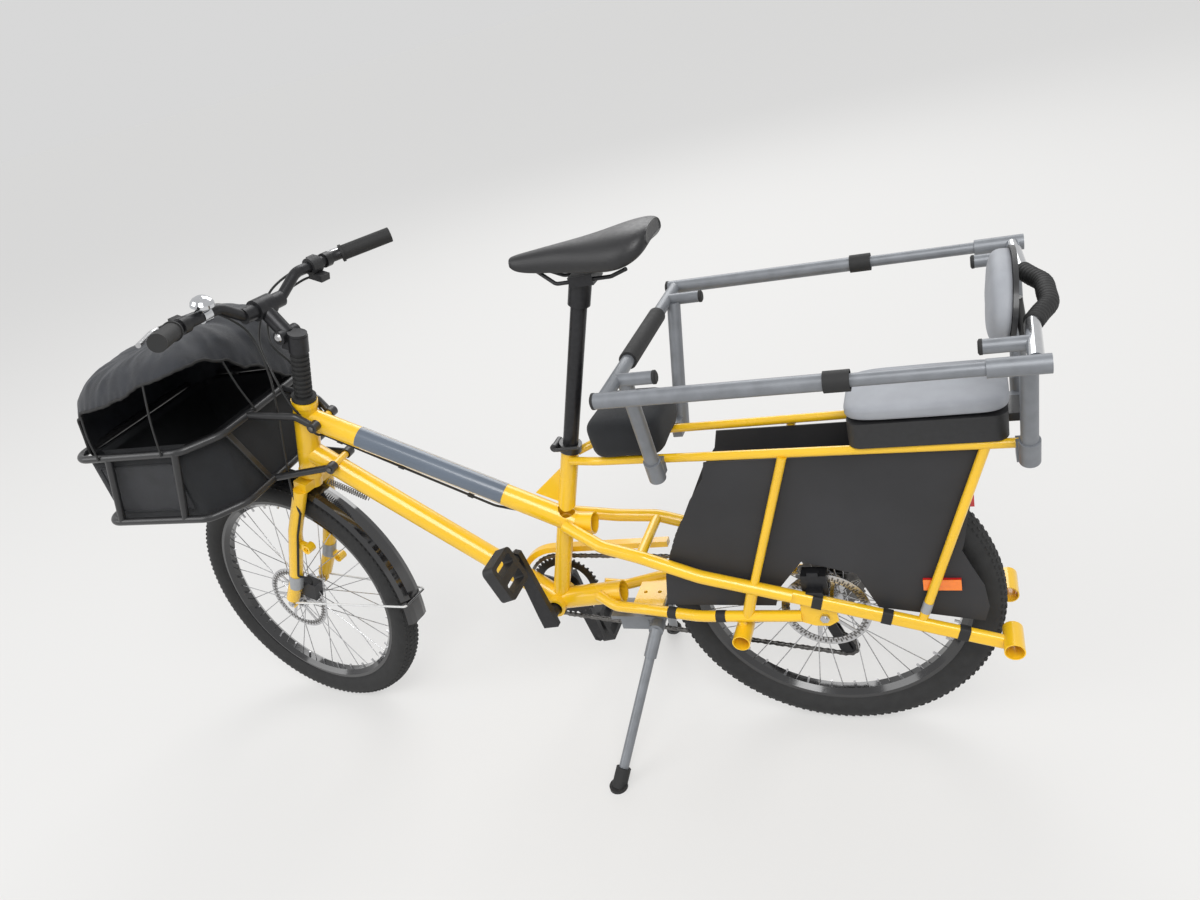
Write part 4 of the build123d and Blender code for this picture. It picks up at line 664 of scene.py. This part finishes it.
# Fork and fender
# A yellow metal fork with a grey reflective band on each blade, and a glossy black plastic fender
# on white wire stays. The bands are wrapped on.
blade_wrap = 0.0158
fender_half_width = 0.0318
wire_reach = 0.316
fender_gloss = finish_of("fender_gloss", (0.008, 0.008, 0.009), 0.05, coat=1.0, tone=0.1, grain=6.0,
                         wear=0.03)
wire_white = finish_of("wire_white", (0.62, 0.62, 0.61), 0.35, coat=0.3, tone=0.05)
dress(yellow, "fork")
dress(fender_gloss, "front_fender")


def second_look(node, look, belongs):
    """Gives a second finish to the faces of a node that a test on their centres picks."""
    shape = nodes[node]
    mesh = shape.data
    mesh.materials.append(look)
    for face in mesh.polygons:
        if belongs(shape.matrix_world @ face.center):
            face.material_index = len(mesh.materials) - 1


def on_fender_wire(p):
    """True beside the fender's strip, or nearer the hub than it."""
    out = p - front_hub_place
    sideways = out.dot(leftward)
    return abs(sideways) > fender_half_width or (out - leftward * sideways).length < wire_reach


second_look("front_fender", wire_white, on_fender_wire)
for side, word, low, high, low_ahead, high_ahead in (
    (1, "left", -300.0, -262.0, 28.0, 23.7),
    (-1, "right", -282.0, -244.0, 26.2, 22.0),
):
    sleeve(f"fork_band_{word}", steered(low_ahead, side * 57.0, low),
           steered(high_ahead, side * 57.0, high), blade_wrap, reflective_grey, "steering")


# Bars and controls
# Black alloy stem and bars, rubber grips and boot, black lever bodies with silver blades, a plastic
# shifter and a chrome bell. A steel cap closes each end of the stem's pivot.
def tube_faces(sides, count, closed=False):
    """Faces between rings of points, with a face over each end of an open tube."""
    faces = []
    for n in range(count if closed else count - 1):
        m = (n + 1) % count
        for i in range(sides):
            j = (i + 1) % sides
            faces.append((n * sides + j, m * sides + j, m * sides + i, n * sides + i))
    if not closed:
        faces.append(tuple(reversed(range(sides))))
        faces.append(tuple((count - 1) * sides + i for i in range(sides)))
    return faces


def round_bar(name, start, stop, radius, look, body, sides=20, crown=0.002):
    """A short round bar whose far end is slightly domed."""
    run = (stop - start).normalized()
    across = run.cross(Vector((0.13, 0.21, 0.97))).normalized()
    other = run.cross(across)
    points = []
    for p, share in ((start, 1.0), (stop - run * crown, 1.0), (stop, 0.72)):
        for i in range(sides):
            angle = 2 * pi * i / sides
            points.append(p + (across * cos(angle) + other * sin(angle)) * radius * share)
    piece(name, points, tube_faces(sides, 3), look, body, smooth=False)


blade_from = 0.214
lever_black = finish_of("lever_black", (0.018, 0.018, 0.019), 0.34, metallic=0.3, tone=0.2,
                        relief=0.06)
blade_silver = finish_of("blade_silver", (0.60, 0.60, 0.61), 0.24, metallic=1.0, tone=0.06,
                         relief=0.04)
chrome = finish_of("chrome", (0.62, 0.63, 0.65), 0.14, metallic=1.0, tone=0.04, wear=0.05)
dress(black_alloy, "stem", "handlebar")
dress(rubber, "steerer_boot", "grips")
dress(lever_black, "brake_levers")
dress(black_plastic, "shifter")
dress(chrome, "bell")
second_look(
    "brake_levers", blade_silver, lambda p: abs((p - crown / 1000.0).dot(leftward)) > blade_from
)
for side, word in ((1, "left"), (-1, "right")):
    round_bar(f"stem_cap_{word}", steered(25.7, side * 17, 329), steered(25.7, side * 29, 329),
              0.0085, steel, "steering", crown=0.003)


# Brake calipers
# Black alloy disc calipers, one on the fork's left blade and one on the left rear stay. They keep
# their CAD shape.
dress(black_alloy, "front_caliper", "rear_caliper")


# Stand
# Two grey painted metal legs on a bracket under the frame, with rubber feet pushed on their ends.
grey = finish_of("grey_paint", (0.20, 0.21, 0.225), 0.42, metallic=0.35, tone=0.10, grain=40.0,
                 relief=0.05)
dress(grey, "stand_legs", "stand_bracket")
dress(rubber, "stand_feet")


# Seat post and saddle
# A black alloy post in a black clamp, and a padded black saddle. Its skin is drawn over the CAD
# saddle from ten cross sections, wide at the back with a long nose, and then smoothed.
black_paint = finish_of("black_paint", (0.016, 0.016, 0.017), 0.38, coat=0.2, tone=0.2, relief=0.06)
saddle_skin = finish_of("saddle_skin", (0.014, 0.014, 0.015), 0.42, tone=0.15, relief=0.35,
                        relief_scale=500)
dress(black_alloy, "seatpost")
dress(black_paint, "seat_clamp")
dress(saddle_skin, "saddle")
# Place ahead, half width, top and underside of each cross section.
saddle_sections = (
    (449.0, 13.0, 1035.0, 1020.0),
    (440.0, 19.0, 1037.5, 1012.0),
    (405.0, 24.0, 1041.0, 1006.0),
    (360.0, 31.0, 1045.5, 1004.0),
    (315.0, 46.0, 1049.0, 1001.0),
    (275.0, 62.0, 1054.0, 1001.0),
    (240.0, 73.0, 1060.0, 1003.0),
    (212.0, 73.0, 1062.5, 1012.0),
    (194.0, 62.0, 1062.0, 1024.0),
    (187.0, 46.0, 1059.0, 1034.0),
)
# Half of one cross section, as shares of its half width and of its height.
saddle_profile = (
    (0.0, 1.0), (0.25, 0.985), (0.5, 0.94), (0.74, 0.83), (0.92, 0.62), (1.0, 0.34), (0.97, 0.10),
    (0.86, 0.0), (0.5, 0.06), (0.0, 0.12),
)
around = list(saddle_profile) + [(-s, u) for s, u in saddle_profile[-2:0:-1]]
points, faces = [], []
for ahead, half, top, bottom in saddle_sections:
    for s, u in around:
        points.append(at(ahead, s * half, bottom + (top - bottom) * u))
count = len(around)
last_ring = (len(saddle_sections) - 1) * count
faces.append(tuple(reversed(range(last_ring, last_ring + count))))
faces.append(tuple(range(count)))
for low in range(last_ring - count, -1, -count):
    for i in reversed(range(count)):
        j = (i + 1) % count
        faces.append((low + j, low + count + j, low + count + i, low + i))
saddle = piece("saddle_top", points, faces, saddle_skin, "frame")
smoother = saddle.modifiers.new("smooth", "SUBSURF")
smoother.levels = 2
smoother.render_levels = 2
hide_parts("saddle")


# Front cushion and seat pad
# A black fabric cushion ahead of the passenger and a grey pad on a black plastic base. Both are
# foam in a sewn cover, so they bulge between their edges and crease a little.
def weave_of(name, color, scale, rough=0.85, strength=0.5, sheen=0.3):
    """A woven cloth: the finish above with crossed threads in relief."""
    look = finish_of(name, color, rough, tone=0.25, grain=35.0, sheen=sheen, wear=0.06)
    tree = look.node_tree
    link = tree.links.new
    where = tree.nodes.new("ShaderNodeTexCoord").outputs["Object"]
    cross = tree.nodes.new("ShaderNodeMath")
    cross.operation = "MULTIPLY"
    for n, turn in enumerate((0.0, pi / 2)):
        spin = set_inputs(tree.nodes.new("ShaderNodeMapping"), Rotation=(0.4, turn, 0.785))
        link(where, spin.inputs["Vector"])
        wave = set_inputs(tree.nodes.new("ShaderNodeTexWave"), Scale=scale, Distortion=0.6)
        link(spin.outputs["Vector"], wave.inputs["Vector"])
        link(wave.outputs["Fac"], cross.inputs[n])
    add_relief(tree, cross.outputs["Value"], strength, 0.0006)
    return look


cushion_corner = 0.32
cushion_bulge = 0.55


def cushion(name, centre, size, look, node, wrinkle):
    across, along_it = 40, 24
    points = []
    for j in range(along_it + 1):
        v = -pi / 2 + pi * j / along_it
        ring = abs(cos(v)) ** cushion_corner
        for i in range(across):
            u = 2 * pi * i / across
            p = Vector((
                signed_power(cos(u), cushion_corner) * ring * size[0] / 2,
                signed_power(sin(u), cushion_corner) * ring * size[1] / 2,
                signed_power(sin(v), cushion_bulge) * size[2] / 2,
            ))
            crease = noise.noise(p / 38.0 + Vector((7, 3, 1)))
            fine = noise.noise(p / 14.0)
            p *= 1 + (crease * 0.022 + fine * 0.008) * wrinkle
            points.append(centre + p / 1000.0)
    pad = piece(name, points, ring_faces(across, along_it + 1, False, False), look, "frame")
    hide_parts(node)


black_fabric = weave_of("black_fabric", (0.010, 0.011, 0.013), 420.0, sheen=0.06)
grey_fabric = finish_of("grey_fabric", (0.30, 0.31, 0.33), 0.6, tone=0.08, grain=25.0, relief=0.25,
                        relief_scale=700)
dress(black_plastic, "seat_base")
dress(black_fabric, "front_cushion")
dress(grey_fabric, "seat_pad")
cushion("front_cushion_cover", at(302, 0, 701.0), (138, 148, 80), black_fabric, "front_cushion",
        wrinkle=1.6)
cushion("seat_pad_cover", at(-200, 0, 720.2), (246, 154, 29.5), grey_fabric, "seat_pad",
        wrinkle=0.5)


# Backrest pad
# An oval foam pad in grey cloth with a rolled edge, seated on its black shell and leaning back
# with it.
backrest_place = at(-334, 0, 865)
backrest_lean = Matrix.Rotation(-0.0997, 3, "Y")
backrest_half_width, backrest_half_height = 100.5, 63.5
backrest_seat, backrest_depth = 7.6, 28.0
rows_out, columns = 18, 56
dress(black_paint, "backrest_shell")
dress(grey_fabric, "backrest_pad")
points = []
for j in range(rows_out + 1):
    v = j / rows_out
    for i in range(columns):
        u = 2 * pi * i / columns
        depth = backrest_seat + backrest_depth * sin(v * pi / 2) ** 0.55
        shrink = 1.0 if j == 0 else cos(v * pi / 2 * 0.999) ** 0.30
        p = Vector((
            depth, backrest_half_width * cos(u) * shrink, backrest_half_height * sin(u) * shrink,
        ))
        p.x += noise.noise(p / 30.0) * 0.7
        points.append(backrest_place + (backrest_lean @ p) / 1000.0)
backrest = piece("backrest_pad_cover", points, ring_faces(columns, rows_out + 1), grey_fabric,
                 "frame")
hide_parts("backrest_pad")


# Side rails and grab bar
# Grey painted rails on posts round the passenger, and a chrome grab bar behind the backrest in a
# ribbed black wrap. Black caps close the stubs and the rails' front ends.
def tube(name, line, radius, look, body, sides=10, closed=False):
    """A round tube along a line of points, with one radius or a list of one for each point."""
    points = []
    count = len(line)
    for n, p in enumerate(line):
        reach = radius[n] if isinstance(radius, list) else radius
        before = line[(n - 1) % count] if closed or n > 0 else p
        after = line[(n + 1) % count] if closed or n < count - 1 else p
        run = (after - before).normalized()
        across = run.cross(Vector((0.13, 0.21, 0.97))).normalized()
        other = run.cross(across)
        for i in range(sides):
            angle = 2 * pi * i / sides
            points.append(p + (across * cos(angle) + other * sin(angle)) * reach)
    return piece(name, points, tube_faces(sides, count, closed), look, body)


def smooth_line(knots, steps=12):
    """Points along a smooth curve through the given knots."""
    line = []
    padded = [knots[0]] + list(knots) + [knots[-1]]
    for n in range(1, len(padded) - 2):
        a, b, c, d = padded[n - 1:n + 3]
        for step in range(steps):
            t = step / steps
            line.append(0.5 * (
                (2 * b) + (c - a) * t + (2 * a - 5 * b + 4 * c - d) * t ** 2
                + (-a + 3 * b - 3 * c + d) * t ** 3
            ))
    line.append(knots[-1])
    return line


rail_height = 863
rail_y = 236
stub_y = 168
stub_cap_radius = 0.0112
rail_cap_radius = 0.0131
wrap_radius, rib_height = 0.0131, 0.0013
points_per_rib = 6
dress(grey, "side_rails", "rail_posts")
dress(rubber, "rail_grips")
dress(chrome, "grab_bar")
second_look("grab_bar", grey, lambda p: p.x > at(-338, 0, 0).x and 0.15 < abs(p.y) < 0.19)
for side, word in ((1, "left"), (-1, "right")):
    for name, ahead, stop, y, radius in (
        ("front_stub_cap", 183, 177, stub_y, stub_cap_radius),
        ("rail_front_cap", 258, 264, rail_y, rail_cap_radius),
        ("rear_stub_cap", -286, -280, stub_y, stub_cap_radius),
    ):
        round_bar(f"{name}_{word}", at(ahead, side * y, rail_height), at(stop, side * y, rail_height),
                  radius, rubber, "frame")
wrap_line = smooth_line([
    at(ahead, left, rail_height)
    for ahead, left in (
        (-353.6, 101), (-365, 72), (-377.4, 41), (-378.4, 0), (-377.4, -41), (-365, -72), (-353.6, -101),
    )
], 24)
ribs = [
    wrap_radius + rib_height * abs(sin(pi * n / points_per_rib)) ** 0.6
    for n in range(len(wrap_line))
]
tube("grab_bar_wrap", wrap_line, ribs, rubber, "frame", sides=20)


# Basket frame
# Black painted metal tubes: two rims, uprights, and arms that end in eyes on the frame's bosses.
# A hexagon bolt goes into each eye from outside.
dress(black_paint, "basket_frame")
for side, word in ((1, "left"), (-1, "right")):
    for height, place in ((760, "upper"), (662, "lower")):
        round_bar(f"basket_arm_bolt_{place}_{word}", at(976, side * 40, height),
                  at(976, side * 45.5, height), 0.0055, dark_steel, "frame", sides=6,
                  crown=0.001)


# Basket liner
# A black fabric liner that hangs in the basket and keeps its CAD shape. Mesh windows edged with
# piping are sewn on its sides, and its upper edge is turned outwards to the rim all round.
window_low, window_high = 676, 784
window_rear, window_front = 1202, 1402
side_face, front_face = 194.6, 1438.3
front_window_half = 158
piping_radius = 0.0022
window_mesh = weave_of("window_mesh", (0.024, 0.025, 0.029), 900.0, rough=0.8, strength=0.9,
                       sheen=0.1)
dress(black_fabric, "basket_liner")
for word, (x0, y0), (x1, y1), away in (
    ("left", (window_rear, side_face), (window_front, side_face), Vector((0, 1, 0))),
    ("right", (window_rear, -side_face), (window_front, -side_face), Vector((0, -1, 0))),
    ("front", (front_face, -front_window_half), (front_face, front_window_half), Vector((1, 0, 0))),
):
    corners = [
        at(x0, y0, window_low), at(x1, y1, window_low), at(x1, y1, window_high), at(x0, y0, window_high),
    ]
    out = (corners[1] - corners[0]).cross(corners[3] - corners[0])
    order = (0, 1, 2, 3) if out.dot(away) > 0 else (3, 2, 1, 0)
    piece(f"liner_window_{word}", corners, [order], window_mesh, "frame",
          smooth=False)
    edge = []
    for n in range(4):
        first, last = corners[n], corners[(n + 1) % 4]
        edge += [first.lerp(last, t) for t in (0.03, 0.25, 0.5, 0.75, 0.97)]
    tube(f"liner_piping_{word}", edge, piping_radius, black_fabric, "frame", sides=6,
         closed=True)


def rounded(corners, radius, steps=8):
    """A closed line of points with each corner rounded."""
    line = []
    count = len(corners)
    for n in range(count):
        before, here, after = (Vector(corners[(n + k) % count]) for k in (-1, 0, 1))
        back, onward = (before - here).normalized(), (after - here).normalized()
        half = back.angle(onward) / 2
        centre = here + (back + onward).normalized() * (radius / sin(half))
        first = here + back * (radius / tan(half)) - centre
        last = here + onward * (radius / tan(half)) - centre
        line += [centre + first.slerp(last, step / steps) for step in range(steps + 1)]
    return line


liner_line = rounded([
    (1437, -193.4), (1437, 193.4), (1172, 193.4), (1118.6, 132), (1118.6, -132), (1172, -193.4),
], 30)
rim_line = rounded([
    (1445, -200), (1445, 200), (1162, 200), (1108, 138), (1108, -138), (1162, -200),
], 35)
points = [at(p.x, p.y, 798) for p in liner_line] + [at(p.x, p.y, 805) for p in liner_line]
points += [at(p.x, p.y, 811) for p in rim_line]
faces = ring_faces(len(liner_line), 3, False, False)
piece("liner_collar", points, faces, black_fabric, "frame")


# Basket cover
# A black fabric dome stretched over the basket's rim, its left hem drawn up, with soft wrinkles
# that run down from the crown, a corded hem and three thin cords to the rim.
cover_middle = 1278
cover_ahead, cover_behind, cover_half_width = 186, 174, 218
cover_foot, cover_rise = 784, 216
squareness = 3.6
crown_share = 0.985
hem_radius = 0.0032
strap_radius = 0.0022
# The hem's height as a share of the dome, by the angle round it from the front to the left.
hem_knots = (
    (-180, 0.26), (-150, 0.05), (-120, 0.01), (0, 0.01), (38, 0.01), (45, 0.04), (51, 0.30), (60, 0.38),
    (80, 0.40), (96, 0.44), (118, 0.54), (138, 0.56), (152, 0.54), (166, 0.42), (180, 0.26),
)


def hem_share(degrees):
    for (a0, s0), (a1, s1) in zip(hem_knots, hem_knots[1:]):
        if a0 <= degrees <= a1:
            t = (degrees - a0) / (a1 - a0)
            return s0 + (s1 - s0) * t * t * (3 - 2 * t)


def cover_push(ca, sa, share, above_hem, degrees):
    """How far a fold, wrinkle or gather stands out of the smooth dome, in millimetres."""
    fold = noise.noise(Vector((ca * 2.6, sa * 2.6, share * 1.1)) + Vector((3, 1, 5)))
    fine = noise.noise(Vector((ca * 8.5, sa * 8.5, share * 3.4)))
    ridge = 1 - abs(noise.noise(Vector((ca * 4.1 + 9, sa * 4.1, share * 2.2))) * 2.4)
    gather = max(0.0, 1 - above_hem * 9.0)
    push = (fold * 11.0 + fine * 5.0 + max(0.0, ridge) * 3.0) * min(1.0, above_hem * 4.0)
    return push + gather * 1.6 * sin(radians(degrees) * 58)


points = []
columns, rows_up = 180, 40
for j in range(rows_up + 1):
    for i in range(columns):
        degrees = -180 + 360.0 * i / columns
        ca, sa = cos(radians(degrees)), sin(radians(degrees))
        low = hem_share(degrees)
        share = low + (crown_share - low) * (j / rows_up)
        out = 1.0 / (abs(ca) ** squareness + abs(sa) ** squareness) ** (1 / squareness)
        width = cos(share * pi / 2) ** 0.34
        rise = sin(share * pi / 2) ** 0.72
        smooth_place = Vector((
            cover_middle - 10 * rise + (cover_ahead if ca > 0 else cover_behind) * out * ca * width,
            -4 * rise + cover_half_width * out * sa * width,
            cover_foot + cover_rise * rise * (1 - 0.10 * max(0.0, ca) - 0.04 * max(0.0, sa)),
        ))
        push = cover_push(ca, sa, share, share - low, degrees)
        p = smooth_place + Vector((ca * width, sa * width, rise)) * (push * (1 - share * 0.45) - 4.0)
        points.append(at(p.x, p.y, p.z))
faces = ring_faces(columns, rows_up + 1, first_end=False)
hem = points[:columns]
cover_fabric = weave_of("cover_fabric", (0.011, 0.013, 0.018), 300.0, rough=0.62, sheen=0.12)
dress(black_fabric, "basket_cover")
cover = piece("basket_cover_cloth", points, faces, cover_fabric, "frame")
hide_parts("basket_cover")
tube("basket_cover_hem", hem, hem_radius, rubber, "frame", sides=8, closed=True)
for word, degrees, stop in (
    ("a", 56, at(1366, 214.5, 812)),
    ("b", 118, at(1196, 214.5, 812)),
    ("c", 166, at(1094, 40, 812)),
):
    start = hem[int((degrees + 180) * columns / 360)]
    line = smooth_line([start, start.lerp(stop, 0.5) + Vector((0, 0.004, 0)), stop])
    tube(f"cover_strap_{word}", line, strap_radius, rubber, "frame", sides=8)


# Cables
# Free cables leave the levers and the shifter and curve ahead of the stem. The front brake's goes down
# the head tube's left to the clip under the crown; the other two turn under the top tube, where they
# are held by three black clips.
cable_skin = finish_of("cable_skin", (0.014, 0.014, 0.014), 0.35, tone=0.15, relief=0.1)
cable_diameter = 0.005
dress(rubber, "front_brake_cable", "rear_cable")
to_front_brake = [
    steered(92, 176, 398), steered(116, 150, 398), steered(132, 82, 376), steered(100, 30, 322),
    steered(56, 34, 250), steered(38, 40, 170), steered(26, 47, 80), steered(14, 53, 0),
    steered(0, 58, -44), steered(-11.6, 58.9, -72),
]
to_rear_brake = [
    steered(92, -176, 398), steered(116, -150, 394), steered(132, -72, 360), steered(98, 4, 300),
    steered(54, 28, 250), at(1012, 31, 818), at(1003, 29, 790), at(995, 28.5, 764), at(989, 20.5, 737),
    at(985, 6, 726.4),
]
to_rear_gears = [
    steered(72, -160, 386), steered(102, -132, 372), steered(120, -62, 338), steered(88, -14, 286),
    steered(48, -26, 240), at(1012, -31, 818), at(1003, -29, 790), at(995, -28.5, 764),
    at(989, -20.5, 737), at(984, -6, 726.0),
]
for word, knots, body in (
    ("front_brake", to_front_brake, "steering"),
    ("rear_brake", to_rear_brake, None),
    ("rear_gears", to_rear_gears, None),
):
    line = smooth_line(knots, 14)
    cable = tube(f"cable_{word}", line, cable_diameter / 2, cable_skin, body)
    if body is None:
        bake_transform(cable)
    length = sum((b - a).length for a, b in zip(line, line[1:]))
clip_half_length = 0.006
clip_bore = 0.0024
clip_wall = 2.0
clip_front, clip_back = at(985, 6, 726.7), at(640, 6, 534.4)
clip_run = (clip_back - clip_front).normalized()
for place, share in (("front", 0.10), ("middle", 0.46), ("rear", 0.86)):
    middle = clip_front.lerp(clip_back, share)
    sleeve(f"cable_clip_{place}", middle - clip_run * clip_half_length,
           middle + clip_run * clip_half_length, clip_bore, rubber, "frame", sides=16,
           wall=clip_wall)


# Steering spring
# A small coil spring of dark steel wire between the fork's crown and the down tube. On the bicycle it
# bends when the bars turn; here it is a straight coil that rides on no body.
coil_turns, coil_steps = 18, 12
coil_radius, wire_radius = 0.0058, 0.0011
spring_front, spring_back = at(1040, -10, 605), at(946, 0, 562)
run = (spring_back - spring_front).normalized()
across = run.cross(Vector((0, 1, 0))).normalized()
other = across.cross(run)
coil = []
for step in range(coil_turns * coil_steps + 1):
    angle = 2 * pi * step / coil_steps
    middle = spring_front.lerp(spring_back, step / (coil_turns * coil_steps))
    coil.append(middle + (across * cos(angle) + other * sin(angle)) * coil_radius)
spring = tube("steering_spring", coil, wire_radius, dark_steel, None, sides=6)
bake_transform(spring)
